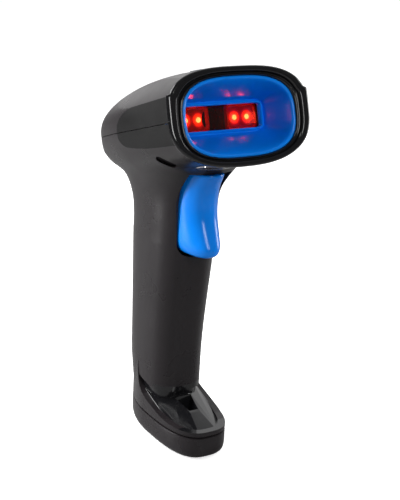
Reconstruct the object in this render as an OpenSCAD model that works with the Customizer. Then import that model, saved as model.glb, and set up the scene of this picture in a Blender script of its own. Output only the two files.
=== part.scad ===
// Handheld barcode scanner: a tilted egg-shaped head on a pistol handle with a boot-shaped foot.
// Millimetres. +Z is up, the scanner looks along -Y, and X runs across it.
// The origin is the centre of the flat pad that the foot stands on.

/* [Head] */
// Upward tilt of the head against the table, in degrees
head_tilt = 17; // [13:0.5:20]
// How far the centre of the bezel stands in front of the middle of the foot
head_reach = 42.5; // [40:0.5:46]
// Height of the centre of the bezel above the table
head_z = 159.5; // [150:0.5:175]
// Length of the head, from the front of the bezel to its rear end
head_length = 103; // [92:1:115]
// Width of the head where it leaves the bezel
head_w = 58; // [56:0.5:66]
// Height of the head above its parting plane
head_up = 20.2; // [18.5:0.1:23]
// Depth of the head below its parting plane
head_down = 19.4; // [17.5:0.1:22]
// Half width of the head across its two flat side panels
panel_half = 27.2; // [26.5:0.1:28.5]
// Wall of the housing mouldings
wall = 2; // [1.6:0.1:2.4]

/* [Bezel and hood] */
// Width of the bezel
bezel_w = 66.8; // [62:0.2:76]
// Height of the bezel
bezel_h = 40.2; // [39:0.2:46]
// Depth of the bezel in front of the housing
bezel_depth = 6; // [5:0.5:8]
// Width of the mouth that the hood opens in
mouth_w = 50.6; // [46:0.2:54]
// Height of the mouth
mouth_h = 29.8; // [26:0.2:31]
// Distance from the bezel front back to the window
hood_depth = 21; // [17:0.5:26]
// Wall of the hood
hood_wall = 1.2; // [1.2:0.1:1.8]
// Width of the red window that shows
window_w = 42.2; // [36:0.2:43]
// Height of the red window that shows
window_h = 10.2; // [8.5:0.2:12]
// How far the window sits above the middle of the bezel
window_up = 1.2; // [0:0.1:2]
// Thickness of the window
window_t = 1.5; // [1:0.1:2]

/* [Handle] */
// Width of the handle
grip_w = 28.8; // [25:0.2:31]
// Depth of the handle, front to back, just above the foot
grip_d = 38; // [35:0.5:41]
// Depth that the handle gains by the time it reaches the trigger
grip_swell = 6.5; // [4:0.5:8]
// How far the back of the handle stands in front of the heel of the foot
heel_step = 2.2; // [2:0.1:4]

/* [Foot] */
// Length of the foot
foot_l = 65; // [62:0.5:76]
// Width of the foot
foot_w = 30.6; // [30:0.2:36]
// Height of the foot, up to its rim
foot_h = 14; // [12.5:0.5:17]
// Height of the base cap that closes the foot
cap_h = 11; // [9.5:0.5:11.5]
// Wall of the base cap
cap_wall = 2; // [1.6:0.1:2.4]
// Thickness of the rubber pad under the foot
pad_t = 1.2; // [1:0.1:1.6]
// How far the pad stands proud of the cap
pad_proud = 0.5; // [0.3:0.1:0.7]

/* [Trigger] */
// Width of the trigger
trigger_w = 18; // [15:0.5:20]
// Height of the trigger from its foot up to the pivot
trigger_h = 35; // [30:0.5:38]
// Angle that a full pull turns the trigger through
trigger_pull = 5; // [3:0.5:6]
// Gap between the trigger and the opening, on each side
trigger_gap = 0.7; // [0.5:0.1:1]
// Diameter of the pivot pin
pin_d = 2; // [1.6:0.1:2.5]
// Radial running clearance of the trigger on its pin
pin_gap = 0.05; // [0.02:0.01:0.1]

/* [Electronics] */
// Thickness of the circuit boards
board_t = 1.2; // [1:0.1:1.6]
// Width of the main board
board_w = 18; // [16:0.5:19]
// Height of the battery cell
cell_h = 50; // [40:1:60]
// Width of the battery cell
cell_w = 18; // [15:0.5:20]
// Thickness of the battery cell
cell_t = 9; // [6:0.5:10]
// Diameter of the lens barrel of the scan engine
lens_d = 8; // [6:0.2:9]
// Diameter of the beeper
beeper_d = 9; // [8:0.2:10]
// Outside width of the charging socket
socket_w = 9; // [8:0.1:10]
// Outside height of the charging socket
socket_h = 3.2; // [3:0.1:3.6]
// Shank diameter of the housing screws
screw_d = 2.2; // [2:0.1:2.6]
// Head diameter of the housing screws
screw_head_d = 4; // [3.6:0.1:4.6]

/* [Hidden] */
$fn = 48;
fit = 0.15;             // gap round a piece that drops into another
face_gap = 0.3;         // gap between pieces that only pass each other
ring_points = 40;       // points round a lofted section
thin = 0.01;            // slice that carries a section of a loft
far = 320;              // larger than the scanner, for cutting

// ---------- outlines ----------
function side(v) = v < 0 ? -1 : 1;
function bend(v, n) = side(v) * pow(abs(v), 2 / n);
// A squared-off oval whose upper and lower halves have their own reach and squareness
function oval(a, up, down, n, low_n = 0, count = ring_points) =
    [for (i = [0:count - 1]) let (t = 360 * i / count, m = sin(t) < 0 && low_n > 0 ? low_n : n)
        [a * bend(cos(t), m), (sin(t) < 0 ? down : up) * bend(sin(t), m)]];
function mix(a, b, k) = a + (b - a) * k;
// Falls from 1 to 0 as u goes from 0 to 1, late and round
function close_in(u, n) = pow(max(0, 1 - pow(u, n)), 1 / n);
// 0 below the first value, 1 above the second, smooth between
function ease(v, low, high) = let (k = min(1, max(0, (v - low) / (high - low)))) k * k * (3 - 2 * k);

module oval_2d(w, h, n, low_n, count = ring_points) {
    polygon(oval(w / 2, h / 2, h / 2, n, low_n, count));
}

// ---------- places ----------
// The head's own frame: origin at the front of the bezel, +Y to the rear, +Z up out of the top
module in_head() {
    translate([0, -head_reach, head_z]) rotate([-head_tilt, 0, 0]) children();
}
// A flat shape drawn across the head, made solid from y0 to the rear by depth
module across(y0, depth) {
    translate([0, y0 + depth, 0]) rotate([90, 0, 0]) linear_extrude(depth) children();
}
// World place of a point in the head's frame
function head_y(s, t) = -head_reach + s * cos(head_tilt) + t * sin(head_tilt);
function head_up_z(s, t) = head_z - s * sin(head_tilt) + t * cos(head_tilt);

// ---------- head ----------
head_start = bezel_depth;
head_tip = 1;           // smallest half size of a lofted section
head_n = 2.75;          // squareness of the head above its parting plane
head_low_n = 2.6;
head_plan_n = 2.9;
head_top_n = 2.4;
head_under_n = 4;
crown = 1.8;            // how much the top bulges above its straight run
head_steps = [0, 0.22, 0.42, 0.58, 0.71, 0.81, 0.89, 0.95, 0.985, 1];

function head_top_at(u) = head_up * close_in(u, head_top_n) + crown * pow(sin(180 * pow(u, 0.8)), 1.5);
function head_under_at(u) = head_down * close_in(u, head_under_n);

module head_slice(u, inset) {
    y = mix(head_start, head_length, u) - (u > 0.5 ? inset * u : 0) - (u == 0 && inset > 0 ? 1 : 0);
    a = max(head_tip, head_w / 2 * close_in(u, head_plan_n) - inset);
    up = max(head_tip, head_top_at(u) - inset);
    down = max(head_tip, head_under_at(u) - inset);
    across(y, thin) polygon(oval(a, up, down, head_n, head_low_n));
}
module head_loft(inset) {
    intersection() {
        union() {
            for (i = [0:len(head_steps) - 2]) {
                hull() {
                    head_slice(head_steps[i], inset);
                    head_slice(head_steps[i + 1], inset);
                }
            }
        }
        panel_limit(inset);
    }
}
// The room between the two flat side panels, whose wall is thinner than the rest
panel_wall = 1.5;
module panel_limit(inset, gap = 0) {
    half = panel_half - min(inset, panel_wall) - gap;
    translate([-half, -far / 2, -far / 2]) cube([2 * half, far, far]);
}
// ---------- handle ----------
heel_y = foot_l / 2;
grip_back = heel_y - heel_step;
grip_front = grip_back - grip_d;
under_y = 70;           // place along the head where the handle's back meets it
neck_z = head_up_z(under_y, -head_down) + 4;
grip_n = 2.6;
grip_levels = [cap_h, foot_h + 1, foot_h + 9, foot_h + 24, mix(foot_h, neck_z, 0.5),
               mix(foot_h, neck_z, 0.68), mix(foot_h, neck_z, 0.84), neck_z - 10, neck_z - 5,
               neck_z - 1, neck_z + 3, neck_z + 8];
belly_low = mix(foot_h, neck_z, 0.2);
belly_high = neck_z - 8;
neck_flare = 8;         // how far each side of the handle widens into the head
chin_reach = 13.5;      // how far the front of the handle sweeps forward into the chin
nape_reach = 21;        // how far the back of the handle sweeps out under the head
draft = 0.006;          // moulding draft of the handle, per millimetre of height

function grip_half(z) = grip_w / 2 - draft * (neck_z - z)
    + 1.8 * ease(z, belly_low, belly_high) + neck_flare * pow(ease(z, neck_z - 16, neck_z + 14), 1.5);
function grip_y_front(z) = grip_front - draft * z - grip_swell * ease(z, belly_low, belly_high)
    - chin_reach * pow(ease(z, neck_z - 12, neck_z + 16), 1.3);
function grip_y_back(z) = grip_back - draft * (neck_z - z)
    + nape_reach * pow(ease(z, neck_z - 20, neck_z + 10), 1.25);
function grip_back_n(z) = mix(grip_n, heel_n, ease(z, foot_h + 26, foot_h));

module grip_slice(z, inset) {
    front = grip_y_front(z) + inset;
    back = grip_y_back(z) - inset;
    half = (back - front) / 2;
    translate([0, (front + back) / 2, z]) linear_extrude(thin)
        polygon(oval(grip_half(z) - inset, half, half, grip_back_n(z), grip_n));
}
module grip_loft(inset) {
    for (i = [0:len(grip_levels) - 2]) {
        hull() {
            grip_slice(grip_levels[i] - (i == 0 && inset > 0 ? spigot_h + 1 : 0), inset);
            grip_slice(grip_levels[i + 1], inset);
        }
    }
}

// ---------- foot ----------
toe_n = 2.9;
heel_n = 1.8;
foot_mid_y = 3;         // where the foot is widest
foot_groove = 0.5;      // shadow gap between the cap and the rim
spigot_h = 2.6;         // how far the housing drops into the base cap
dish_z = foot_h - 3;    // floor of the dish in front of the handle
rim_w = 2;              // width of the rim round the dish
// Outline of the foot seen from above: blunt at the toe, rounder at the heel
function foot_outline(inset) =
    [for (i = [0:ring_points - 1])
        let (t = 360 * i / ring_points, n = sin(t) < 0 ? toe_n : heel_n,
             reach = sin(t) < 0 ? heel_y + foot_mid_y : heel_y - foot_mid_y)
        [(foot_w / 2 - inset) * bend(cos(t), n), foot_mid_y + (reach - inset) * bend(sin(t), n)]];
module foot_slab(z0, z1, inset) {
    translate([0, 0, z0]) linear_extrude(z1 - z0) polygon(foot_outline(inset));
}

// ---------- trigger and switch places ----------
pin_y = grip_front - 0.6;
pin_z = head_up_z(head_start + 11, -head_down) - 8;
trigger_top = 2.6;      // trigger above its pivot
trigger_back = 2;       // trigger behind its pivot
slot_low = 2.2;         // opening below the trigger's foot
slot_round = 7;         // rounding of the opening's lower end
board_y = grip_front + 12.5;
switch_drop = 0.8 * trigger_h;
switch_z = pin_z - switch_drop;
switch_w = 6;
switch_t = 4;
plunger_d = 2.6;
plunger_gap = 0.08;
plunger_out = switch_drop * sin(trigger_pull) + 0.5;
plunger_in = 0.6;
spring_z = pin_z - 0.45 * trigger_h;
spring_d = 5;
spring_wire = 0.6;
spring_turns = 5;

// ---------- screw places ----------
nape_screw_x = 7;
nape_screw_y = 0.85 * head_length;
nape_screw_low = -head_under_at((nape_screw_y - head_start) / (head_length - head_start));
boss_wall = 1.5;
boss_tall = 6;          // screw bosses above the rim of the foot
base_screws_at = [[0, grip_front + wall + 1.2], [grip_w / 2 - wall - 3, foot_mid_y + 10],
                  [-grip_w / 2 + wall + 3, foot_mid_y + 10]];
screw_grip = 4;         // thread length in the far piece
screw_head_t = 1.6;
screw_gap = 0.2;        // clearance of a screw in a plain hole
thread_gap = 0.05;      // the screws are drawn a little under the size of their threaded holes

// A pan-head screw pointing up, with its head's underside at z = 0
module screw(length) {
    translate([0, 0, -screw_head_t]) cylinder(d = screw_head_d, h = screw_head_t);
    cylinder(d = screw_d, h = length);
}

// ---------- outer pieces ----------
module head_band(s0, s1, half) {
    translate([-half, s0, -far / 2]) cube([2 * half, s1 - s0, far / 2]);
}
neck_trim_half = 13;
neck_trim_from = head_start + 1.5;
neck_trim_to = head_start + 11;
neck_trim_t = 1;

module housing_outside() {
    in_head() difference() {
        head_loft(0);
        translate([-far / 2, -far / 2, 0]) cube(far);
    }
    difference() {
        grip_loft(0);
        in_head() translate([-far / 2, -far / 2, -head_down / 2]) cube(far);
    }
    difference() {
        union() {
            foot_slab(cap_h + foot_groove, foot_h, 0);
            foot_slab(cap_h - spigot_h, foot_h, cap_wall + fit);
        }
        foot_dish();
    }
    toe_block(recess_half + recess_wall, recess_l + recess_wall, -1, dish_z - 0.5, foot_h + 1.5);
}
module foot_dish() {
    hull() {
        foot_slab(foot_h, foot_h + 1, rim_w);
        foot_slab(dish_z, dish_z + 1, rim_w + 5);
    }
}
sound_s = 28.3;         // place of the sound slots along the head
sound_h = 2.2;          // height of a sound slot
sound_deep = 8;         // length of the cutter, more than the wall on both sides
sound_lean = 146;       // turns the cutter square to the lower side of the head
// Each slot runs across the lower side of the head, from its upper to its lower end
sound_ends = [[0.8 * head_w / 2, sound_s + 1, -0.71 * head_down],
              [0.66 * head_w / 2, sound_s - 1, -0.84 * head_down]];
module sound_slots() {
    in_head() for (x = [-1, 1]) {
        hull() for (p = sound_ends) {
            translate([x * p[0], p[1], p[2]]) rotate([0, x * sound_lean, 0])
                cylinder(d = sound_h, h = sound_deep, center = true);
        }
    }
}
module trigger_slot() {
    half = trigger_w / 2 + trigger_gap;
    low = pin_z - trigger_h - slot_low;
    translate([0, board_y, 0]) rotate([90, 0, 0]) linear_extrude(far / 2)
        polygon([for (p = oval(half, 1, slot_round, 2.6)) [p[0], p[1] < 0 ? low + slot_round + p[1]
            : pin_z + trigger_top + face_gap]]);
}
recess_half = 4.2;      // half width of the recess in front of the handle
recess_l = 6;
recess_deep = 3;
recess_wall = 1.4;
module toe_block(half, from, to, z0, z1) {
    translate([-half, grip_front - from, z0]) cube([2 * half, from - to, z1 - z0]);
}
module main_housing() {
    color([0.09, 0.09, 0.1]) difference() {
        housing_outside();
        toe_block(recess_half, recess_l, 0.6, foot_h + 1.5 - recess_deep, foot_h + 8);
        difference() {
            union() {
                in_head() head_loft(wall);
                grip_loft(wall);
                foot_slab(0, cap_h - spigot_h + 0.6, cap_wall + fit + 1.6);
            }
            for (p = base_screws_at) {
                translate([p[0], p[1], 0]) cylinder(d = screw_d + 2 * boss_wall, h = foot_h + boss_tall);
            }
            in_head() for (x = [-nape_screw_x, nape_screw_x]) {
                translate([x, nape_screw_y, nape_screw_low])
                    cylinder(d = screw_head_d + 2 * boss_wall, h = -nape_screw_low - face_gap);
            }
        }
        trigger_slot();
        sound_slots();
        for (p = base_screws_at) {
            translate([p[0], p[1], -1]) cylinder(d = screw_d + 2 * thread_gap, h = foot_h + boss_tall);
        }
        in_head() for (x = [-nape_screw_x, nape_screw_x]) {
            translate([x, nape_screw_y, nape_screw_low - 3])
                cylinder(d = screw_head_d + 2 * screw_gap, h = 5 + screw_head_t);
            translate([x, nape_screw_y, nape_screw_low - 3])
                cylinder(d = screw_d + 2 * screw_gap, h = far / 4);
        }
        in_head() difference() {
            head_band(neck_trim_from - fit, neck_trim_to + fit, neck_trim_half + fit);
            head_loft(neck_trim_t + fit);
        }
        port_cut();
    }
}

lens_w = 11.4;          // indicator lens on top of the head
lens_from = head_start + 0.5;
lens_l = 24;
lens_proud = 0.5;
lens_t = 1.8;
module top_shell() {
    color([0.1, 0.1, 0.11]) in_head() difference() {
        union() {
            difference() {
                head_loft(0);
                head_loft(wall);
            }
            for (x = [-nape_screw_x, nape_screw_x]) {
                intersection() {
                    translate([x, nape_screw_y, 0]) cylinder(d = screw_d + 2 * boss_wall, h = head_up);
                    head_loft(wall / 2);
                }
            }
        }
        translate([-far / 2, -far / 2, -far + 0.05]) cube(far);
        translate([-lens_w / 2 - fit, lens_from - fit, head_up - lens_t])
            cube([lens_w + 2 * fit, lens_l + 2 * fit, far]);
        for (x = [-nape_screw_x, nape_screw_x]) {
            translate([x, nape_screw_y, -1]) cylinder(d = screw_d + 2 * thread_gap, h = screw_grip + 2);
        }
    }
}

bezel_n = 2.95;         // squareness of the top of the bezel
bezel_low_n = 2.5;
bezel_ear_n = 5;
bezel_ear_z = bezel_h / 4;  // the sides stand upright to here, then step in to the shoulder
bezel_points = 64;
flange = (bezel_w - head_w) / 2;
shoulder_r = 9.8;       // hollow cut at each upper shoulder of the bezel
shoulder_x = bezel_w / 2 + 4.3;
shoulder_z = bezel_h / 2 - 1.2;
bezel_spigot = 3;       // how far the bezel reaches into the head
spigot_in = wall + fit;
hood_front = 1.2;       // hood rim behind the bezel's face
module bezel_plate(y0, y1, inset) {
    w = bezel_w - 2 * inset;
    h = bezel_h - min(2 * inset, 1.6);
    across(y0, y1 - y0) oval_2d(w, h, bezel_n, bezel_low_n, bezel_points);
    intersection() {
        across(y0, y1 - y0) oval_2d(w, h, bezel_ear_n, bezel_ear_n, bezel_points);
        translate([-far / 2, y0, 0]) cube([far, y1 - y0, bezel_ear_z]);
    }
}
mouth_n = 2.84;
module mouth_core(y0, y1, grow) {
    across(y0, y1 - y0) oval_2d(mouth_w + 2 * grow, mouth_h + 2 * grow, mouth_n, mouth_n, bezel_points);
}
module front_bezel() {
    color([0.03, 0.03, 0.035]) in_head() difference() {
        union() {
            bezel_plate(0, 1, 0.7);
            bezel_plate(1, bezel_depth / 2, 0);
            bezel_plate(bezel_depth / 2, 0.75 * bezel_depth, flange / 2);
            bezel_plate(0.75 * bezel_depth, bezel_depth, 0.9 * flange);
            intersection() {
                across(bezel_depth, bezel_spigot)
                    polygon(oval(head_w / 2 - spigot_in, head_up - spigot_in, head_down - spigot_in,
                        head_n, head_low_n));
                panel_limit(wall, fit);
            }
        }
        mouth_core(-1, bezel_depth + bezel_spigot + 1, hood_wall + fit);
        difference() {
            mouth_core(-1, 1, hood_wall + 2.6);
            mouth_core(-2, 2, hood_wall + 1.3);
        }
        for (x = [-shoulder_x, shoulder_x]) {
            translate([x, far / 2, shoulder_z]) rotate([90, 0, 0]) cylinder(r = shoulder_r, h = far);
        }
    }
}

hood_steps = [0, 0.25, 0.5, 0.75, 1];
collar_l = 3;
module hood_slice(u, grow) {
    w = mix(mouth_w, window_w + 3, pow(u, 0.8)) / 2 + grow;
    h = mix(mouth_h, window_h + 3, pow(u, 0.9)) / 2 + grow;
    translate([0, 0, window_up * u]) across(mix(hood_front, hood_depth - 1.5, u), thin)
        polygon(oval(w, h, h, mix(mouth_n, 6, u)));
}
module hood_loft(grow) {
    for (i = [0:len(hood_steps) - 2]) {
        hull() {
            hood_slice(hood_steps[i], grow);
            hood_slice(hood_steps[i + 1], grow);
        }
    }
}
module window_block(y0, y1, grow) {
    translate([-window_w / 2 - grow, y0, window_up - window_h / 2 - grow])
        cube([window_w + 2 * grow, y1 - y0, window_h + 2 * grow]);
}
glass_over = 1.7;       // how far the window reaches past its opening
gasket_t = 0.8;
collar_grow = glass_over + fit + hood_wall;
module scan_hood() {
    color([0.03, 0.35, 0.95]) in_head() difference() {
        union() {
            hood_loft(hood_wall);
            window_block(hood_depth - 1.5 - hood_wall, hood_depth + collar_l, collar_grow);
        }
        hood_loft(0);
        hood_slice(0, 0);
        translate([0, -1, 0]) hood_slice(0, 0);
        window_block(hood_depth - 4, hood_depth + 1, 0);
        window_block(hood_depth, far, glass_over + fit);
    }
}
module window_gasket() {
    color([0.05, 0.05, 0.05]) in_head() difference() {
        window_block(hood_depth, hood_depth + gasket_t, glass_over);
        window_block(hood_depth - 1, hood_depth + gasket_t + 1, 0);
    }
}
module scan_window() {
    color([0.7, 0.02, 0.02, 0.6]) in_head()
        window_block(hood_depth + gasket_t, hood_depth + gasket_t + window_t, glass_over);
}
module neck_trim() {
    color([0.02, 0.02, 0.025]) in_head() intersection() {
        difference() {
            head_loft(-0.2);
            head_loft(neck_trim_t);
        }
        head_band(neck_trim_from, neck_trim_to, neck_trim_half);
    }
}
module indicator_lens() {
    color([0.25, 0.27, 0.3, 0.8]) in_head() intersection() {
        head_loft(-lens_proud);
        translate([-lens_w / 2, lens_from, head_up - lens_t + face_gap]) cube([lens_w, lens_l, far]);
    }
}

// ---------- trigger ----------
trigger_reach = 17.9;   // front of the trigger's lip, ahead of its pivot
trigger_n = 2.2;
nub_half = 2;
// Down the trigger: share of its height, share of its reach and share of its width
trigger_shape = [[0, 0.94, 1], [0.18, 0.78, 1], [0.37, 0.69, 1], [0.56, 0.73, 1], [0.74, 0.9, 1],
                 [0.87, 1.02, 0.96], [0.96, 0.96, 0.82], [1, 0.76, 0.56]];
module trigger_slice(i) {
    at = trigger_shape[i];
    half = trigger_w / 2 * at[2];
    translate([0, 0, mix(trigger_top, -trigger_h, at[0]) - (i == 0 ? thin : 0)]) linear_extrude(thin)
        polygon([for (p = oval(half, far, trigger_reach * at[1], trigger_n))
            [p[0], min(p[1], trigger_back)]]);
}
module trigger_body() {
    for (i = [0:len(trigger_shape) - 2]) {
        hull() {
            trigger_slice(i);
            trigger_slice(i + 1);
        }
    }
}
shell_side = 2.2;       // walls of the trigger
module trigger() {
    color([0.03, 0.35, 0.95]) translate([0, pin_y, pin_z]) difference() {
        union() {
            difference() {
                trigger_body();
                translate([-trigger_w / 2 + shell_side, 4 - trigger_reach * 0.6, 7 - trigger_h])
                    cube([trigger_w - 2 * shell_side, far, trigger_h - 11]);
            }
            translate([-nub_half, 2 - trigger_reach * 0.6, -switch_drop - nub_half])
                cube([2 * nub_half, trigger_reach * 0.6 - 2 + nub_reach, 2 * nub_half]);
        }
        translate([-far / 2, 0, 0]) rotate([0, 90, 0]) cylinder(d = pin_d + 2 * pin_gap, h = far);
    }
}
nub_reach = board_y - switch_t - plunger_out - face_gap - pin_y;

ear_gap = 0.6;          // between the trigger and the ears that hold its pin
ear_t = 1.6;
ear_x = max(trigger_w / 2 + ear_gap, board_w / 2 + fit);
pin_half = ear_x + ear_t;
module trigger_pin() {
    color("silver") translate([-pin_half, pin_y, pin_z]) rotate([0, 90, 0])
        cylinder(d = pin_d, h = 2 * pin_half);
}

// A closed coil spring lying along Y, swept as one tube
spring_from = pin_y + 4.1 - trigger_reach * 0.6;
spring_to = board_y - 0.1;
spring_sides = 6;
spring_rings = 16 * spring_turns;
function spring_point(i, j) = let (t = 360 * spring_turns * i / spring_rings, a = 360 * j / spring_sides,
    wire_r = spring_wire / 2,
    r = spring_d / 2 + wire_r * cos(a),
    y = mix(spring_from + wire_r, spring_to - wire_r, i / spring_rings) + wire_r * sin(a))
    [r * cos(t), y, spring_z + r * sin(t)];
module trigger_spring() {
    points = [for (i = [0:spring_rings]) for (j = [0:spring_sides - 1]) spring_point(i, j)];
    skin = [for (i = [0:spring_rings - 1]) for (j = [0:spring_sides - 1])
        let (k = (j + 1) % spring_sides, n = spring_sides)
        [i * n + j, (i + 1) * n + j, (i + 1) * n + k, i * n + k]];
    first = [for (j = [0:spring_sides - 1]) j];
    last = [for (j = [0:spring_sides - 1]) spring_rings * spring_sides + spring_sides - 1 - j];
    color("silver") polyhedron(points, concat(skin, [first], [last]));
}
module trigger_switch() {
    color([0.15, 0.15, 0.15]) difference() {
        translate([-switch_w / 2, board_y - switch_t, switch_z - switch_w / 2])
            cube([switch_w, switch_t, switch_w]);
        translate([0, board_y - 0.5, switch_z]) rotate([90, 0, 0])
            cylinder(d = plunger_d + 2 * plunger_gap, h = switch_t);
    }
}
module switch_plunger() {
    color("white") translate([0, board_y - switch_t + plunger_in, switch_z]) rotate([90, 0, 0])
        cylinder(d = plunger_d, h = plunger_in + plunger_out);
}

// ---------- scan engine, in the head's frame ----------
engine_w = 38;
engine_h = 17;
engine_from = hood_depth + gasket_t + window_t + 4.2;
engine_l = 17;
engine_wall = 1.5;
engine_screw_x = engine_w / 2 - 6;
barrel_l = 11;          // length of the lens barrel
led_x = [-16.5, -11, 11, 16.5];
led_d = 3;
led_tall = 2;
module led_board() {
    color([0.05, 0.3, 0.12]) in_head() difference() {
        translate([-engine_w / 2, engine_from - board_t, window_up - engine_h / 2])
            cube([engine_w, board_t, engine_h]);
        translate([0, engine_from + 1, window_up]) rotate([90, 0, 0])
            cylinder(d = lens_d + 2 * face_gap, h = board_t + 2);
    }
}
module illumination_leds() {
    color([1, 0.3, 0.1]) in_head() for (x = led_x) {
        translate([x, engine_from - board_t, window_up]) rotate([90, 0, 0])
            cylinder(d = led_d, h = led_tall);
    }
}
module engine_frame() {
    color([0.12, 0.12, 0.13]) in_head() difference() {
        translate([-engine_w / 2, engine_from, window_up - engine_h / 2])
            cube([engine_w, engine_l, engine_h]);
        translate([-engine_w / 2 + engine_wall, engine_from + 3, window_up - engine_h / 2 + engine_wall])
            cube([engine_w - 2 * engine_wall, far, engine_h - 2 * engine_wall]);
        translate([0, engine_from + 4, window_up]) rotate([90, 0, 0]) cylinder(d = lens_d, h = 5);
        for (x = [-engine_screw_x, engine_screw_x]) {
            translate([x, engine_from + engine_l / 2, window_up - engine_h / 2 - 1])
                cylinder(d = screw_d + 2 * screw_gap, h = engine_wall + 2);
        }
    }
}
module engine_lens() {
    color([0.05, 0.05, 0.06]) in_head() translate([0, engine_from + barrel_l - 2, window_up])
        rotate([90, 0, 0])
        cylinder(d = lens_d, h = barrel_l);
}
imager_w = 20;
imager_h = 12;
module imager_board() {
    color([0.05, 0.3, 0.12]) in_head()
        translate([-imager_w / 2, engine_from + barrel_l - 2, window_up - imager_h / 2])
            cube([imager_w, board_t, imager_h]);
}
shelf_top = window_up - engine_h / 2;
shelf_t = 2;
module engine_screws() {
    color("silver") in_head() for (x = [-engine_screw_x, engine_screw_x]) {
        translate([x, engine_from + engine_l / 2, shelf_top + engine_wall]) mirror([0, 0, 1])
            screw(engine_wall + shelf_t + 1);
    }
}
pipe_w = 4;
pipe_l = 3;
pipe_h = head_up - lens_t + face_gap - window_up - engine_h / 2;
module light_pipe() {
    color([0.8, 0.85, 0.9, 0.7]) in_head()
        translate([-pipe_w / 2, engine_from + 1, window_up + engine_h / 2]) cube([pipe_w, pipe_l, pipe_h]);
}

// ---------- chassis and electronics in the handle ----------
rail_t = 1.6;
board_low = foot_h + 10;
board_high = pin_z - 6;
tray_y = board_y + board_t + 1;
rail_l = 12;            // depth of the side rails, front to back
stop_t = 3;             // thickness of the stop and of the post above it
stop_h = 9;
post_w = 16;
board_screw_z = board_high + 1.5;
module inner_chassis() {
    rail_x = max(board_w / 2, cell_w / 2) + fit;
    color([0.2, 0.2, 0.21]) difference() {
        union() {
            in_head() translate([-engine_w / 2, engine_from + 1, shelf_top - shelf_t])
                cube([engine_w, engine_l + 14, shelf_t]);
            for (x = [-1, 1]) {
                // side rails that carry the board and the battery
                translate([x > 0 ? rail_x : -rail_x - rail_t, board_y - 2, board_low])
                    cube([rail_t, rail_l, board_high - board_low]);
                // ears that hold the trigger pin, and the arms that join them to the rails
                translate([x > 0 ? ear_x : -ear_x - ear_t, pin_y - 1.8, pin_z - 4])
                    cube([ear_t, board_y - pin_y + 4, 6]);
            }
            // stop between the battery and the board
            translate([-rail_x - rail_t, board_y + board_t, board_high - stop_t])
                cube([2 * (rail_x + rail_t), stop_t, stop_h]);
            // post up to the shelf under the scan engine
            translate([-post_w / 2, board_y + board_t, board_high])
                cube([post_w, stop_t, shelf_post_z - board_high]);
        }
        translate([-far / 2, pin_y, pin_z]) rotate([0, 90, 0]) cylinder(d = pin_d, h = far);
        in_head() for (x = [-engine_screw_x, engine_screw_x]) {
            translate([x, engine_from + engine_l / 2, shelf_top - far / 2]) cylinder(d = screw_d, h = far);
        }
        translate([0, board_y - 5, board_screw_z]) rotate([-90, 0, 0]) cylinder(d = screw_d, h = 10);
    }
}
shelf_s = (board_y + board_t + stop_t + head_reach) / cos(head_tilt);
shelf_post_z = head_up_z(shelf_s, shelf_top - shelf_t) + 1;
module main_board() {
    color([0.05, 0.3, 0.12]) difference() {
        translate([-board_w / 2, board_y, board_low]) cube([board_w, board_t, board_high + 4 - board_low]);
        translate([0, board_y - 1, board_screw_z]) rotate([-90, 0, 0])
            cylinder(d = screw_d + 2 * screw_gap, h = board_t + 2.8);
    }
}
// The chips on the front of the board: width, thickness, height, and place up the board
chips = [[10, 1.2, 10, 8], [8, 1, 5, 24], [14, 1.8, 6, 34]];
module board_chips() {
    color([0.08, 0.08, 0.08]) for (c = chips) {
        translate([-c[0] / 2, board_y - c[1], board_low + c[3]]) cube([c[0], c[1], c[2]]);
    }
}
beeper_up = 50;         // place of the beeper up the board
beeper_t = 4;
module beeper() {
    color([0.1, 0.1, 0.1]) translate([0, board_y - beeper_t, board_low + beeper_up]) rotate([-90, 0, 0])
        cylinder(d = beeper_d, h = beeper_t);
}
module board_screws() {
    color("silver") translate([0, board_y, board_screw_z]) rotate([-90, 0, 0]) screw(board_t + stop_t);
}
cell_low = board_low + 3;
module battery_cell() {
    color([0.75, 0.76, 0.78]) translate([-cell_w / 2, tray_y, cell_low]) cube([cell_w, cell_t, cell_h]);
}
foam_in = 2;            // foam inside the edge of the cell
foam_t = 2;
foam_end = 6;           // foam inside the ends of the cell
module battery_foam() {
    color([0.2, 0.2, 0.2]) translate([-cell_w / 2 + foam_in, tray_y + cell_t, cell_low + foam_end])
        cube([cell_w - 2 * foam_in, foam_t, cell_h - 2 * foam_end]);
}
lead_d = 1.2;
lead_up = 6;            // how far the lead rises before it turns to the board
lead_y = tray_y + 2;
module battery_lead() {
    for (x = [-2, 2]) {
        color(x < 0 ? "red" : "black") {
            translate([x, lead_y, cell_low + cell_h]) cylinder(d = lead_d, h = lead_up, $fn = 16);
            translate([x, board_y + board_t, cell_low + cell_h + lead_up - lead_d / 2]) rotate([-90, 0, 0])
                cylinder(d = lead_d, h = lead_y - board_y - board_t, $fn = 16);
        }
    }
}
flex_w = 9;
flex_t = 0.3;
flex_l = 16;
module flex_cable() {
    color([0.85, 0.5, 0.15]) {
        in_head() translate([-flex_w / 2, engine_from + barrel_l - 2 + board_t, window_up - 4])
            cube([flex_w, flex_l, flex_t]);
    }
}

// ---------- base ----------
cap_low = pad_proud;
cap_floor = 2.4;
pad_inset = 5;
port_y = heel_y - 0.6;
port_z = cap_low + cap_floor + 0.9 + board_t;
screw_seat = pad_t + screw_head_t + fit;
socket_l = 7.4;
socket_from = heel_y - 8;
socket_wall = 0.4;
tongue_t = 0.7;         // tongue in the middle of the socket
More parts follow.
